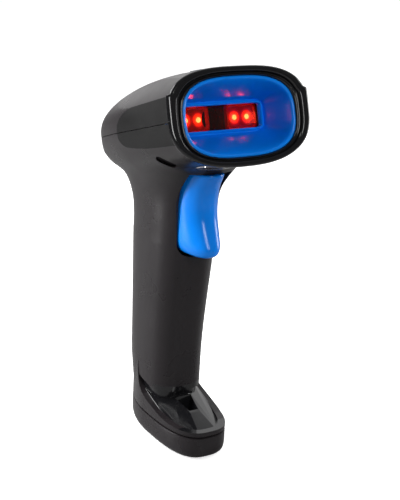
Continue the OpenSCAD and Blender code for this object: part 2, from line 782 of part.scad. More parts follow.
// The window of the charging socket, cut through every moulding at the heel
module port_cut() {
    translate([-socket_w / 2 - fit, socket_from, port_z - fit])
        cube([socket_w + 2 * fit, far, socket_h + 2 * fit]);
}
module base_cap() {
    color([0.1, 0.1, 0.11]) difference() {
        union() {
            foot_slab(cap_low, cap_low + 1, 0.8);
            foot_slab(cap_low + 1, cap_low + 2.4, 0.3);
            foot_slab(cap_low + 2.4, cap_h, 0);
        }
        difference() {
            foot_slab(cap_low + cap_floor, far, cap_wall);
            for (p = base_screws_at) {
                translate([p[0], p[1], 0])
                    cylinder(d = screw_head_d + 2 * boss_wall, h = cap_h - spigot_h - fit);
            }
        }
        foot_slab(cap_low - 1, pad_t, pad_inset - fit);
        for (p = base_screws_at) {
            translate([p[0], p[1], -1]) cylinder(d = screw_d + 2 * screw_gap, h = far / 4);
            translate([p[0], p[1], -1]) cylinder(d = screw_head_d + 2 * screw_gap, h = 1 + screw_seat);
        }
        port_cut();
    }
}
module base_pad() {
    color([0.06, 0.06, 0.06]) foot_slab(0, pad_t, pad_inset);
}
module base_screws() {
    color("silver") for (p = base_screws_at) {
        translate([p[0], p[1], screw_seat]) screw(cap_h - spigot_h - screw_seat + 2 * screw_grip);
    }
}
module head_screws() {
    color("silver") in_head() for (x = [-nape_screw_x, nape_screw_x]) {
        translate([x, nape_screw_y, nape_screw_low + 2 + screw_head_t])
            screw(screw_grip - nape_screw_low - 2 - screw_head_t);
    }
}
module charging_socket() {
    color("silver") difference() {
        translate([-socket_w / 2, socket_from, port_z]) cube([socket_w, socket_l, socket_h]);
        translate([-socket_w / 2 + socket_wall, socket_from + 1, port_z + socket_wall])
            cube([socket_w - 2 * socket_wall, socket_l + 0.6, socket_h - 2 * socket_wall]);
    }
    color([0.1, 0.1, 0.1])
        translate([-socket_w / 2 + 1.4, socket_from + 0.5, port_z + (socket_h - tongue_t) / 2])
        cube([socket_w - 2.8, 5.5, tongue_t]);
}
socket_board_l = 14;
module socket_board() {
    color([0.05, 0.3, 0.12]) translate([-socket_w / 2 - 1, socket_from - 12, port_z - board_t])
        cube([socket_w + 2, socket_board_l, board_t]);
}

main_housing();
top_shell();
front_bezel();
scan_hood();
window_gasket();
scan_window();
neck_trim();
indicator_lens();
light_pipe();
trigger();
trigger_pin();
trigger_spring();
trigger_switch();
switch_plunger();
inner_chassis();
engine_frame();
engine_lens();
imager_board();
led_board();
illumination_leds();
engine_screws();
flex_cable();
main_board();
board_chips();
beeper();
board_screws();
battery_cell();
battery_foam();
battery_lead();
charging_socket();
socket_board();
base_cap();
base_pad();
base_screws();
head_screws();
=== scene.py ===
# %% [markdown]
# # A handheld barcode scanner, from its engineering frame to a finished picture
# The measured frame gives every place and every moving part. This lesson keeps that frame and models the
# pieces that people see again in fine mesh: two head mouldings, a glossy bezel, a blue hood, a red window,
# a trigger, and a boot-shaped foot. Lengths are written in millimetres and turned into metres at the last
# moment.

# %% Load the frame
import math

import bmesh
import bpy
from mathutils import Matrix, Vector


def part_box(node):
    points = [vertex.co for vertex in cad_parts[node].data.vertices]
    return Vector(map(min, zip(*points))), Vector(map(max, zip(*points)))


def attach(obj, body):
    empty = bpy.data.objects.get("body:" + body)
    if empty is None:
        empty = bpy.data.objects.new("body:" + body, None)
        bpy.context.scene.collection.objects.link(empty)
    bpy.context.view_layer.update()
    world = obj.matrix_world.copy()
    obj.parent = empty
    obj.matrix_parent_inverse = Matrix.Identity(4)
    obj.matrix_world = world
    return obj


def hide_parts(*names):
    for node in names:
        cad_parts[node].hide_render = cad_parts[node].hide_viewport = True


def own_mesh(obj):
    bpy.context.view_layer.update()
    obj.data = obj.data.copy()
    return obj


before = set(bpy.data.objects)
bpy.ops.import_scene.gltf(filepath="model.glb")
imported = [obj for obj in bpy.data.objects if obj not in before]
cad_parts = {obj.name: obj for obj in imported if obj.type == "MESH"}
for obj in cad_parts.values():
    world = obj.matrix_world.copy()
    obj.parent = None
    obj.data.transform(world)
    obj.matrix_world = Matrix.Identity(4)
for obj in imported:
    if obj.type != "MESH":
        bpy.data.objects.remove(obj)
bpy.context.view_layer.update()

MM = 0.001
BODY = "scanner_body"
LEVER = "trigger_lever"

# %% [markdown]
# ## The head's own directions
# The head leans back, so its pieces are easier to describe in a frame of their own: x across, s from the
# front of the bezel to the rear, and t out of the top. One helper turns such a place into a place on the
# table.

# %% The head's frame
TILT = math.radians(17)
HEAD_REACH = 42.5
HEAD_HEIGHT = 159.5


def head_point(x, s, t):
    """A place in the head's frame, in the table's frame, both in millimetres."""
    return (x, -HEAD_REACH + s * math.cos(TILT) + t * math.sin(TILT),
            HEAD_HEIGHT - s * math.sin(TILT) + t * math.cos(TILT))


def head_matrix():
    """The turn and shift from the head's frame to the table's, in metres."""
    return Matrix.Translation(Vector((0, -HEAD_REACH, HEAD_HEIGHT)) * MM) @ Matrix.Rotation(-TILT, 4, "X")


# %% [markdown]
# ## Camera
# A pack-shot camera stands at the front left, a little above the head, with a long lens that keeps the
# handle upright. It rolls by a few degrees, as a camera on a tripod with a loose ball head does.

# %% Camera
VIEW_SIDE, VIEW_UP, VIEW_ROLL = math.radians(-31.70), math.radians(18.67), math.radians(2.91)
VIEW_FROM = Vector((-233.7, -393.8, 244.9)) * MM
cam_data = bpy.data.cameras.new("pack_shot_camera")
cam_data.sensor_fit = "HORIZONTAL"
cam_data.sensor_width = 36
cam_data.lens = 96.62
back = Vector((math.sin(VIEW_SIDE) * math.cos(VIEW_UP), -math.cos(VIEW_SIDE) * math.cos(VIEW_UP),
               math.sin(VIEW_UP)))
right = (-back).cross(Vector((0, 0, 1))).normalized()
up = right.cross(-back)
rolled_right = right * math.cos(VIEW_ROLL) + up * math.sin(VIEW_ROLL)
rolled_up = up * math.cos(VIEW_ROLL) - right * math.sin(VIEW_ROLL)
turn = Matrix((rolled_right, rolled_up, back)).transposed().to_4x4()
camera = bpy.data.objects.new("pack_shot_camera", cam_data)
camera.matrix_world = Matrix.Translation(VIEW_FROM) @ turn
bpy.context.scene.collection.objects.link(camera)
bpy.context.scene.camera = camera
print("camera stands", round(VIEW_FROM.length / MM), "mm from the foot")

# %% [markdown]
# ## Shader helpers
# A node tree is easier to read when each node takes one line. `add` makes a node, sets its plain sockets
# and links the rest, so a material reads from top to bottom.

# %% Node helpers


def add(tree, kind, links=None, **settings):
    """A new node. settings are its properties or socket values, and links pair a socket with an output."""
    n = tree.nodes.new(kind)
    for name, value in settings.items():
        if hasattr(n, name):
            setattr(n, name, value)
        else:
            n.inputs[name.replace("_", " ")].default_value = value
    for name, source in (links or {}).items():
        tree.links.new(source, n.inputs[name])
    return n


def new_group(name, ins, outs):
    """An empty node group with its sockets, and its two end nodes."""
    g = bpy.data.node_groups.new(name, "ShaderNodeTree")
    for label, kind, value in ins:
        s = g.interface.new_socket(name=label, in_out="INPUT", socket_type=kind)
        s.default_value = value
    for label, kind in outs:
        g.interface.new_socket(name=label, in_out="OUTPUT", socket_type=kind)
    return g, g.nodes.new("NodeGroupInput"), g.nodes.new("NodeGroupOutput")


def times(tree, a, b):
    """The product of two outputs."""
    return add(tree, "ShaderNodeMath", {0: a, 1: b}, operation="MULTIPLY").outputs[0]


def new_finish(name, **sockets):
    """A new material, its node tree, and its shader with the named sockets set."""
    m = bpy.data.materials.new(name)
    m.use_nodes = True
    shader = m.node_tree.nodes["Principled BSDF"]
    for label, value in sockets.items():
        shader.inputs[label.replace("_", " ")].default_value = value
    return m, m.node_tree, shader


def blend(t, factor, low, high):
    """A mix of two colours."""
    tone = add(t, "ShaderNodeMix", {"Factor": factor}, data_type="RGBA")
    tone.inputs[6].default_value, tone.inputs[7].default_value = (*low, 1), (*high, 1)
    return tone.outputs[2]


def surface(t, shader, factor, smooth, rough, height, strength, deep):
    """Roughness between two values, and a bump."""
    spread = add(t, "ShaderNodeMapRange", {"Value": factor}, To_Min=smooth, To_Max=rough)
    t.links.new(spread.outputs[0], shader.inputs["Roughness"])
    bump = add(t, "ShaderNodeBump", {"Height": height}, Strength=strength, Distance=deep)
    t.links.new(bump.outputs[0], shader.inputs["Normal"])


# %% [markdown]
# ## Three effects that every moulding shares
# Spark-eroded grain from the mould, a little rubbing on the edges, and a trace of dust on what faces up.
# Each is built once as a group that gives back a plain value, and each material decides what to do with it.

# %% Mould grain group
grain_group, g_in, g_out = new_group(
    "mould_grain", [("Scale", "NodeSocketFloat", 900.0)],
    [("Height", "NodeSocketFloat"), ("Cloud", "NodeSocketFloat")])
where = add(grain_group, "ShaderNodeTexCoord").outputs["Object"]
fine = add(grain_group, "ShaderNodeTexNoise", {"Vector": where, "Scale": g_in.outputs["Scale"]}, Detail=3.0)
cells = add(grain_group, "ShaderNodeTexVoronoi", {"Vector": where, "Scale": g_in.outputs["Scale"]})
both = times(grain_group, fine.outputs["Fac"], cells.outputs["Distance"])
wide = add(grain_group, "ShaderNodeTexNoise", {"Vector": where}, Scale=38.0, Detail=4.0, Roughness=0.6)
grain_group.links.new(both, g_out.inputs["Height"])
grain_group.links.new(wide.outputs["Fac"], g_out.inputs["Cloud"])

# %% Edge rub group
wear_group, w_in, w_out = new_group(
    "edge_rub", [("Amount", "NodeSocketFloat", 0.5)], [("Mask", "NodeSocketFloat")])
shape = add(wear_group, "ShaderNodeNewGeometry")
lifted = add(wear_group, "ShaderNodeMapRange", {"Value": shape.outputs["Pointiness"]},
             From_Min=0.53, From_Max=0.62)
patch = add(wear_group, "ShaderNodeTexNoise",
            {"Vector": add(wear_group, "ShaderNodeTexCoord").outputs["Object"]}, Scale=160.0, Detail=5.0)
patchy = add(wear_group, "ShaderNodeMapRange", {"Value": patch.outputs["Fac"]}, From_Min=0.42, From_Max=0.68)
rub = times(wear_group, lifted.outputs[0], patchy.outputs[0])
wear_group.links.new(times(wear_group, rub, w_in.outputs["Amount"]), w_out.inputs["Mask"])

# %% Dust group
dust_group, d_in, d_out = new_group(
    "settled_dust", [("Amount", "NodeSocketFloat", 0.2)], [("Mask", "NodeSocketFloat")])
facing = add(dust_group, "ShaderNodeSeparateXYZ",
             {"Vector": add(dust_group, "ShaderNodeNewGeometry").outputs["Normal"]})
level = add(dust_group, "ShaderNodeMapRange", {"Value": facing.outputs["Z"]}, From_Min=0.3, From_Max=1.0)
specks = add(dust_group, "ShaderNodeTexNoise",
             {"Vector": add(dust_group, "ShaderNodeTexCoord").outputs["Object"]}, Scale=700.0, Detail=6.0)
sparse = add(dust_group, "ShaderNodeMapRange", {"Value": specks.outputs["Fac"]}, From_Min=0.5, From_Max=0.8)
fall = times(dust_group, level.outputs[0], sparse.outputs[0])
dust_group.links.new(times(dust_group, fall, d_in.outputs["Amount"]), d_out.inputs["Mask"])
print("shared effects:", [g.name for g in bpy.data.node_groups])

# %% [markdown]
# ## Finishes
# Most of the scanner is one of three mouldings: satin black, polished black and polished blue. They differ
# in colour, in how rough they are, and in how coarse the mould's grain is, so one recipe makes them all. A
# rubbed edge is a little lighter, and dust is lighter and rougher.

# %% Moulded plastic


def moulded(name, colour, rough, grain=0.1, scale=900.0, rub=0.3, dust=0.12, drift=0.06, coat=0.0,
            specular=0.5):
    """A moulded plastic with grain, cloudy roughness, rubbed edges and dust."""
    m, t, shader = new_finish(name, IOR=1.5, Coat_Weight=coat, Coat_Roughness=0.04,
                              Specular_IOR_Level=specular)
    gn = add(t, "ShaderNodeGroup", node_tree=grain_group)
    gn.inputs["Scale"].default_value = scale
    wn = add(t, "ShaderNodeGroup", node_tree=wear_group)
    wn.inputs["Amount"].default_value = rub
    dn = add(t, "ShaderNodeGroup", node_tree=dust_group)
    dn.inputs["Amount"].default_value = dust
    deep = [c * 0.86 for c in colour] + [1]
    pale = [c * 1.1 + 0.001 for c in colour] + [1]
    worn = [c + 0.035 for c in colour] + [1]
    base = add(t, "ShaderNodeMix", {"Factor": gn.outputs["Cloud"]}, data_type="RGBA")
    base.inputs[6].default_value, base.inputs[7].default_value = deep, pale
    edged = add(t, "ShaderNodeMix", {"Factor": wn.outputs[0]}, data_type="RGBA")
    edged.inputs[7].default_value = worn
    t.links.new(base.outputs[2], edged.inputs[6])
    dusty = add(t, "ShaderNodeMix", {"Factor": dn.outputs[0]}, data_type="RGBA")
    dusty.inputs[7].default_value = (0.25, 0.24, 0.22, 1)
    t.links.new(edged.outputs[2], dusty.inputs[6])
    t.links.new(dusty.outputs[2], shader.inputs["Base Color"])
    cloud = add(t, "ShaderNodeMapRange", {"Value": gn.outputs["Cloud"]}, From_Min=0.3, From_Max=0.7,
                To_Min=max(0.02, rough - drift), To_Max=rough + drift)
    more = add(t, "ShaderNodeMath", {0: cloud.outputs[0], 1: dn.outputs[0]}, operation="ADD", use_clamp=True)
    t.links.new(more.outputs[0], shader.inputs["Roughness"])
    bump = add(t, "ShaderNodeBump", {"Height": gn.outputs["Height"]}, Strength=grain, Distance=0.0002)
    t.links.new(bump.outputs[0], shader.inputs["Normal"])
    return m


SATIN_BLACK = moulded("satin_black_moulding", (0.016, 0.0135, 0.0150), 0.3, grain=0.1, scale=1500.0,
                      rub=0.1, dust=0.01, specular=0.24)
PANEL_BLACK = moulded("panel_black_moulding", (0.005, 0.0048, 0.005), 0.42, grain=0.12, scale=1800.0,
                      rub=0.1, dust=0.02, specular=0.12)
GLOSS_BLACK = moulded("polished_black_moulding", (0.006, 0.006, 0.007), 0.11, grain=0.02, rub=0.15,
                      dust=0.02, drift=0.03)
BLUE = moulded("polished_blue_moulding", (0.001, 0.205, 0.80), 0.2, grain=0.03, rub=0.05, dust=0.01,
              drift=0.04, specular=0.28)
RUBBER = moulded("black_rubber", (0.014, 0.014, 0.014), 0.72, grain=0.5, scale=700.0, dust=0.3)
CHASSIS = moulded("grey_chassis_moulding", (0.10, 0.10, 0.105), 0.5, grain=0.2)
EPOXY = moulded("chip_epoxy", (0.02, 0.02, 0.022), 0.55, grain=0.4, scale=2500.0)
WHITE = moulded("white_moulding", (0.72, 0.72, 0.68), 0.35, grain=0.05)
WIRE = moulded("wire_skin", (0.45, 0.03, 0.03), 0.35, grain=0.05)
# The chin strip is polished black plastic; its light grey base colour is a painted reflection of the bright
# floor below it.
TRIM_PAINTED_REFLECTION = moulded("trim_painted_reflection", (0.36, 0.34, 0.36), 0.1, grain=0.01, rub=0.1, dust=0.01, drift=0.02,
                        specular=1.0, coat=1.0)
print("moulded finishes ready")

# %% [markdown]
# ## Metals, boards and films
# These sit inside the housing. A drawn or turned metal has fine lines, a circuit board shows its copper
# tracks as a slightly lighter green, and a film is smooth and a little uneven in colour.

# %% Metal


def metal(name, colour, rough, lines=1200.0):
    """A plain metal with fine turned lines in its roughness and its bump."""
    m, t, shader = new_finish(name, Metallic=1)
    where = add(t, "ShaderNodeTexCoord").outputs["Object"]
    wave = add(t, "ShaderNodeTexWave", {"Vector": where}, Scale=lines, Distortion=4.0, Detail=3.0)
    blotch = add(t, "ShaderNodeTexNoise", {"Vector": where}, Scale=300.0, Detail=4.0)
    tone = blend(t, blotch.outputs["Fac"], [c * 0.85 for c in colour], colour)
    t.links.new(tone, shader.inputs["Base Color"])
    fine_lines = wave.outputs["Fac"]
    surface(t, shader, fine_lines, rough - 0.06, rough + 0.08, fine_lines, 0.1, 0.0001)
    return m


STEEL = metal("bright_steel", (0.62, 0.62, 0.63), 0.28)
FOIL = metal("pouch_foil", (0.72, 0.73, 0.75), 0.38, lines=250.0)

# %% Board and film


def patterned(name, dark, light, rough, scale, sharp=0.04):
    """A coated sheet whose two tones follow a bricklike pattern, as tracks under solder mask do."""
    m, t, shader = new_finish(name)
    where = add(t, "ShaderNodeTexCoord").outputs["Object"]
    brick = add(t, "ShaderNodeTexBrick", {"Vector": where}, Scale=scale, Mortar_Size=sharp)
    brick.inputs["Color1"].default_value = list(dark) + [1]
    brick.inputs["Color2"].default_value = [c * 1.15 for c in dark] + [1]
    brick.inputs["Mortar"].default_value = list(light) + [1]
    t.links.new(brick.outputs["Color"], shader.inputs["Base Color"])
    blotch = add(t, "ShaderNodeTexNoise", {"Vector": where}, Scale=220.0, Detail=3.0)
    surface(t, shader, blotch.outputs["Fac"], rough - 0.05, rough + 0.1, brick.outputs["Fac"], 0.15, 0.0001)
    return m


BOARD = patterned("solder_mask", (0.012, 0.11, 0.04), (0.03, 0.2, 0.08), 0.3, 260.0)
FILM = patterned("amber_film", (0.5, 0.2, 0.03), (0.7, 0.36, 0.1), 0.25, 180.0)
FOAM = moulded("grey_foam", (0.11, 0.11, 0.11), 0.9, grain=0.9, scale=500.0, dust=0.0)
print("boards, metals and films ready")

# %% [markdown]
# ## Clear plastics
# The window is red acrylic: light is tinted on its way through, and the surface still mirrors the room. The
# indicator lens is the same plastic in smoke grey.

# %% Acrylic


def acrylic(name, tint, rough=0.03, clear=1.0, blur=0.02):
    """Clear coloured plastic with faint moulding ripples."""
    m, t, shader = new_finish(name, IOR=1.49, Transmission_Weight=clear)
    where = add(t, "ShaderNodeTexCoord").outputs["Object"]
    ripple = add(t, "ShaderNodeTexNoise", {"Vector": where}, Scale=120.0, Detail=2.0)
    waves = ripple.outputs["Fac"]
    t.links.new(blend(t, waves, [c * 0.93 for c in tint], tint), shader.inputs["Base Color"])
    surface(t, shader, waves, rough, rough + blur, waves, 0.02, 0.0005)
    return m


RED_ACRYLIC = acrylic("red_acrylic", (0.86, 0.05, 0.02))
SMOKE = acrylic("smoked_acrylic", (0.16, 0.17, 0.19), rough=0.06, clear=0.55)
CLEAR = acrylic("clear_acrylic", (0.9, 0.93, 0.95))

# %% [markdown]
# ## Modelling helpers
# Every moulding here is a skin over a row of closed rings, so one helper makes rings with the circle
# operator, moves their corners to the wanted outline, and bridges each ring to the next. Openings are then
# cut with plain tools, as a toolmaker cuts them into a mould.

# %% Rings and skins


def skin(places, count=96, closed=False):
    """A closed skin over the rings. closed joins the last ring to the first, as for a frame round a hole.

    Each place gives a corner's spot in millimetres from an angle. The rings are bridged while they are still
    a plain stack of circles, and their corners are moved to the wanted outlines after that.
    """
    bm = bmesh.new()
    rings = []
    for i in range(len(places)):
        lift = Matrix.Translation((0, 0, i))
        made = bmesh.ops.create_circle(bm, cap_ends=False, segments=count, radius=1.0, matrix=lift)
        rings.append(made["verts"])
    loops = [list({e for v in corners for e in v.link_edges}) for corners in rings]
    pairs = list(zip(loops, loops[1:]))
    if closed:
        pairs.append((loops[-1], loops[0]))
    for a, b in pairs:
        bmesh.ops.bridge_loops(bm, edges=a + b)
    if not closed:
        bmesh.ops.edgeloop_fill(bm, edges=loops[0])
        bmesh.ops.edgeloop_fill(bm, edges=loops[-1])
    for place, corners in zip(places, rings):
        for i, v in enumerate(corners):
            v.co = Vector(place(math.tau * i / count)) * MM
    bmesh.ops.recalc_face_normals(bm, faces=bm.faces)
    if bm.calc_volume(signed=True) < 0:
        bmesh.ops.reverse_faces(bm, faces=bm.faces)
    return bm


def as_object(bm, name):
    """The bmesh as a linked object."""
    mesh = bpy.data.meshes.new(name)
    bm.to_mesh(mesh)
    bm.free()
    obj = bpy.data.objects.new(name, mesh)
    bpy.context.scene.collection.objects.link(obj)
    return obj


# %% Cutting and joining


def bake(obj):
    """Makes the result of the object's modifiers its own mesh."""
    result = bpy.data.meshes.new_from_object(obj.evaluated_get(bpy.context.evaluated_depsgraph_get()))
    old = obj.data
    obj.modifiers.clear()
    obj.data = result
    bpy.data.meshes.remove(old)


def combine(obj, tool, how="DIFFERENCE"):
    """Cuts the tool from obj, joins it, or keeps what they share. The tool is used up."""
    mod = obj.modifiers.new(how, "BOOLEAN")
    mod.operation = how
    mod.solver = "MANIFOLD"
    mod.object = tool
    bake(obj)
    if not obj.data.polygons:
        raise RuntimeError(f"{tool.name} left nothing of {obj.name}")
    bpy.data.objects.remove(tool)


def beyond(place, direction):
    """A very large block that fills everything past a plane, given in millimetres."""
    bm = bmesh.new()
    bmesh.ops.create_cube(bm, size=0.4)
    way = Vector(direction).normalized()
    spin = Vector((0, 0, 1)).rotation_difference(way).to_matrix().to_4x4()
    bmesh.ops.transform(bm, matrix=Matrix.Translation(Vector(place) * MM + way * 0.2) @ spin, verts=bm.verts)
    return as_object(bm, "plane_tool")


def beyond_in_head(place, direction):
    """The same, for a plane given in the head's frame."""
    tool = beyond(place, direction)
    tool.data.transform(head_matrix())
    return tool


def slab(outline, low, high, axis="x"):
    """An outline of (a, b) corners made thick: across X it is (y, z), and along Y it is (x, z)."""
    bm = bmesh.new()
    spot = (lambda p: (low, p[0], p[1])) if axis == "x" else (lambda p: (p[0], low, p[1]))
    corners = [bm.verts.new(Vector(spot(p)) * MM) for p in outline]
    face = bmesh.ops.contextual_create(bm, geom=corners)["faces"]
    grown = bmesh.ops.extrude_face_region(bm, geom=face)["geom"]
    shift = (high - low) * MM
    bmesh.ops.translate(bm, vec=(shift, 0, 0) if axis == "x" else (0, shift, 0),
                        verts=[g for g in grown if isinstance(g, bmesh.types.BMVert)])
    bmesh.ops.recalc_face_normals(bm, faces=bm.faces)
    return as_object(bm, "slab_tool")


def finish_piece(obj, name, material, *nodes, body=BODY, sharp=32):
    """Names, shades and paints a piece, and hides the frame nodes it stands for."""
    obj.name = obj.data.name = name
    obj.data.shade_smooth()
    obj.data.set_sharp_from_angle(angle=math.radians(sharp))
    obj.data.materials.clear()
    obj.data.materials.append(material)
    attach(obj, body)
    if nodes:
        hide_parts(*nodes)
    print(name, "has", len(obj.data.polygons), "faces")
    return obj


# %% [markdown]
# ## Outlines
# Mouldings like these are drawn with squared-off ovals. `bend` turns a cosine or a sine into the oval's,
# and a higher squareness gives flatter sides with tighter corners.

# %% Outline maths


def bend(v, n):
    """A cosine or sine, bent towards a square of squareness n."""
    return math.copysign(abs(v) ** (2 / n), v)


def mix(a, b, k):
    return a + (b - a) * k


def ease(v, low, high):
    """0 at low, 1 at high, and smooth between."""
    k = min(1, max(0, (v - low) / (high - low)))
    return k * k * (3 - 2 * k)


def close_in(u, n):
    """Falls from 1 to 0 as u goes from 0 to 1, late and round."""
    return max(0, 1 - max(0, u) ** n) ** (1 / n)


# %% [markdown]
# ## The head's egg
# The head is one egg shape, split along a plane into a top moulding and the lower half of the main one. Two
# flat panels trim its sides. The egg is described once, with an inset for the inside of the wall.

# %% Head sizes
HEAD_START, HEAD_END = 6, 103
HEAD_HALF, HEAD_OVER, HEAD_UNDER, CROWN = 29, 20.2, 19.4, 1.8
PANEL = 27.2
WALL = 2
PANEL_WALL = 1.5
SEAM = 0.14


def egg(s, inset=0.0):
    """The egg's outline at a place along the head."""
    u = (s - HEAD_START) / (HEAD_END - HEAD_START)
    half = max(0.3, HEAD_HALF * close_in(u, 2.9) - inset)
    bulge = CROWN * math.sin(math.pi * max(0, u) ** 0.8) ** 1.5 if 0 < u < 1 else 0
    over = max(0.3, HEAD_OVER * close_in(u, 2.4) + bulge - inset)
    under = max(0.3, HEAD_UNDER * close_in(u, 4) - inset)

    def place(angle):
        n = 2.75 if math.sin(angle) >= 0 else 2.6
        tall = over if math.sin(angle) >= 0 else under
        x = half * bend(math.cos(angle), n)
        return head_point(x, s - inset * max(0, u), tall * bend(math.sin(angle), n))
    return place


def egg_stations(steps):
    """Places along the head, closer together where it rounds off."""
    length = HEAD_END - HEAD_START
    return [HEAD_START + length * math.sin(math.pi / 2 * i / steps) for i in range(steps + 1)]


def egg_solid(name, inset=0.0, steps=56, count=160, start=3.0):
    """The whole egg as one closed solid."""
    return as_object(skin([egg(s, inset) for s in [start] + egg_stations(steps)], count), name)


def trim_sides(obj, half):
    """Cuts both sides of the head flat."""
    for side in (-1, 1):
        combine(obj, beyond_in_head((side * half, 0, 0), (side, 0, 0)))


def head_hollow():
    """The room inside the head mouldings."""
    hollow = egg_solid("head_hollow", WALL, 24, 64, 1.0)
    for side in (-1, 1):
        combine(hollow, beyond((side * (PANEL - PANEL_WALL), 0, 0), (side, 0, 0)))
    return hollow


print("head rings:", len(egg_stations(56)))

# %% [markdown]
# ## Top moulding
# The upper half of the egg is cut off just above the parting plane, so that a fine dark line is left all
# round. Its shoulders are planed to a soft bevel that dies out towards the rear, and the wall is hollowed
# to 2 mm.

# %% Top shell
top = egg_solid("top_shell_skin")
combine(top, beyond_in_head((0, 0, SEAM), (0, 0, -1)))
combine(top, beyond_in_head((0, HEAD_START, 0), (0, -1, 0)))
trim_sides(top, PANEL)
for side in (-1, 1):
    combine(top, beyond_in_head((side * 18.9, HEAD_START, 18.9), (side, 0.03, 1)))
combine(top, head_hollow())
LENS_HALF, LENS_FROM, LENS_TO = 5.7, 6.5, 30.5


def lens_block(grow, low):
    """The indicator's footprint on top of the head, as a rounded block."""
    mid, reach = (LENS_FROM + LENS_TO) / 2, (LENS_TO - LENS_FROM) / 2 + grow

    def level(t):
        return lambda a: head_point((LENS_HALF + grow) * bend(math.cos(a), 5),
                                    mid + reach * bend(math.sin(a), 7), t)
    return as_object(skin([level(low), level(40)], 64), "lens_block")


combine(top, lens_block(0.15, 18.4))
top_shell = finish_piece(top, "top_moulding", SATIN_BLACK, "top_shell")

# %% Indicator lens
lens = egg_solid("indicator_skin", -0.5)
combine(lens, lens_block(0.0, 18.7), "INTERSECT")
finish_piece(lens, "indicator_window", SMOKE, "indicator_lens")

# %% [markdown]
# ## Handle
# The handle's rings are squared ovals that swell towards the trigger, then flare into the chin and the nape
# of the head. The egg and the handle are joined, remeshed as one even skin, and the hollow between them is
# relaxed, which is how the clay of a hand-made model would be rubbed smooth.

# %% Handle sizes
NECK_Z = HEAD_HEIGHT - 70 * math.sin(TILT) - HEAD_UNDER * math.cos(TILT) + 4
FOOT_TOP, HEEL = 14, 32.5
GRIP_BACK, GRIP_FRONT = 30.3, -7.7
BELLY_LOW, BELLY_HIGH = mix(FOOT_TOP, NECK_Z, 0.2), NECK_Z - 8


def grip(z, inset=0.0):
    """The handle's outline at a height."""
    half = 14.4 - 0.006 * (NECK_Z - z) + 1.4 * ease(z, BELLY_LOW, BELLY_HIGH) - inset
    half += 8 * ease(z, NECK_Z - 13, NECK_Z + 14) ** 1.6
    front = GRIP_FRONT - 0.006 * z - 6.5 * ease(z, BELLY_LOW, BELLY_HIGH) + inset
    front -= 13.5 * ease(z, NECK_Z - 12, NECK_Z + 16) ** 1.3
    rear = GRIP_BACK - 0.006 * (NECK_Z - z) + 21 * ease(z, NECK_Z - 20, NECK_Z + 10) ** 1.25 - inset
    rear_n = mix(2.6, 1.8, ease(-z, -40, -FOOT_TOP))

    def place(angle):
        n = rear_n if math.sin(angle) >= 0 else 2.6
        y = mix(front, rear, 0.5) + (rear - front) / 2 * bend(math.sin(angle), n)
        return (half * bend(math.cos(angle), n), y, z)
    return place


def heights(low, high, step):
    count = round((high - low) / step)
    return [mix(low, high, i / count) for i in range(count + 1)]


# %% Join the egg and the handle
handle = as_object(skin([grip(z) for z in heights(11.5, NECK_Z + 8, 1.5)], 128), "handle_skin")
combine(handle, beyond_in_head((0, 0, -HEAD_UNDER / 2), (0, 0, 1)))
combine(handle, egg_solid("lower_egg"), "UNION")
even = handle.modifiers.new("even_skin", "REMESH")
even.mode = "VOXEL"
even.voxel_size = 0.8 * MM
bake(handle)
to_head = head_matrix().inverted()
bm = bmesh.new()
bm.from_mesh(handle.data)
soft = []
for v in bm.verts:
    x, s, t = (to_head @ v.co) / MM
    if -60 < t < -7 and v.co.z > 96 * MM and s > 8:
        soft.append(v)
bmesh.ops.smooth_vert(bm, verts=bm.verts, factor=0.5, use_axis_x=True, use_axis_y=True, use_axis_z=True)
for _ in range(70):
    bmesh.ops.smooth_vert(bm, verts=soft, factor=0.5, use_axis_x=True, use_axis_y=True, use_axis_z=True)
bm.to_mesh(handle.data)
bm.free()
print("relaxed", len(soft), "corners of the neck")

# %% [markdown]
# ## Foot
# The foot is a boot: a rim that runs level round the toe and sweeps up at the rear into the spine of the
# handle, a glossy dish inside the rim, and a low faceted roof in the dish. The roof's ridge runs forward
# from the handle to the toe, and a small pocket is sunk in it. The handle ends above the dish on a narrower
# neck.

# %% Foot sizes
FOOT_HALF, FOOT_MID, CAP_TOP, GROOVE = 15.3, 3, 11, 0.5
RIM_WIDTH = 3.2
GRIP_END = 23.4
TOE_N, HEEL_N = 2.9, 1.8
SPINE_Y = 12.8
RISE = [(-60, 14), (-24, 14), (-18, 14.3), (-12, 15.2), (-6, 16.4), (0, 17.8), (5, 19.4), (8.5, 21.4),
        (10.5, 24), (11.6, 27), (12.3, 31), (SPINE_Y, 46)]


def foot(z, inset=0.0, blend=0.0):
    """The foot's outline, blended into the handle's by a share."""
    hand = grip(z, 0.35)

    def place(angle):
        toe = math.sin(angle) < 0
        n = TOE_N if toe else HEEL_N
        reach = (HEEL + FOOT_MID if toe else HEEL - FOOT_MID) - inset
        x = (FOOT_HALF - inset) * bend(math.cos(angle), n)
        y = FOOT_MID + reach * bend(math.sin(angle), n)
        hx, hy, _ = hand(angle)
        return (mix(x, hx, blend), mix(y, hy, blend), z)
    return place


# %% Rim, dish and neck
rim_rings = [foot(CAP_TOP + GROOVE, 0.5), foot(CAP_TOP + GROOVE + 0.4, 0.08)]
rim_rings += [foot(z, 0, ease(z, FOOT_TOP + 1, 44)) for z in heights(CAP_TOP + GROOVE + 0.9, 46, 1.0)]
rim = as_object(skin(rim_rings, 160), "rim_skin")
combine(rim, slab(RISE + [(SPINE_Y, 60), (-60, 60)], -30, 30))
dish = as_object(skin([foot(10.4, 11.5), foot(10.8, 10), foot(13.2, RIM_WIDTH + 0.7), foot(14, RIM_WIDTH),
                       foot(30, RIM_WIDTH - 0.9), foot(50, RIM_WIDTH - 0.9)], 128), "dish_tool")
combine(dish, beyond((0, 12.5, 0), (0, 1, 0)))
combine(rim, dish)
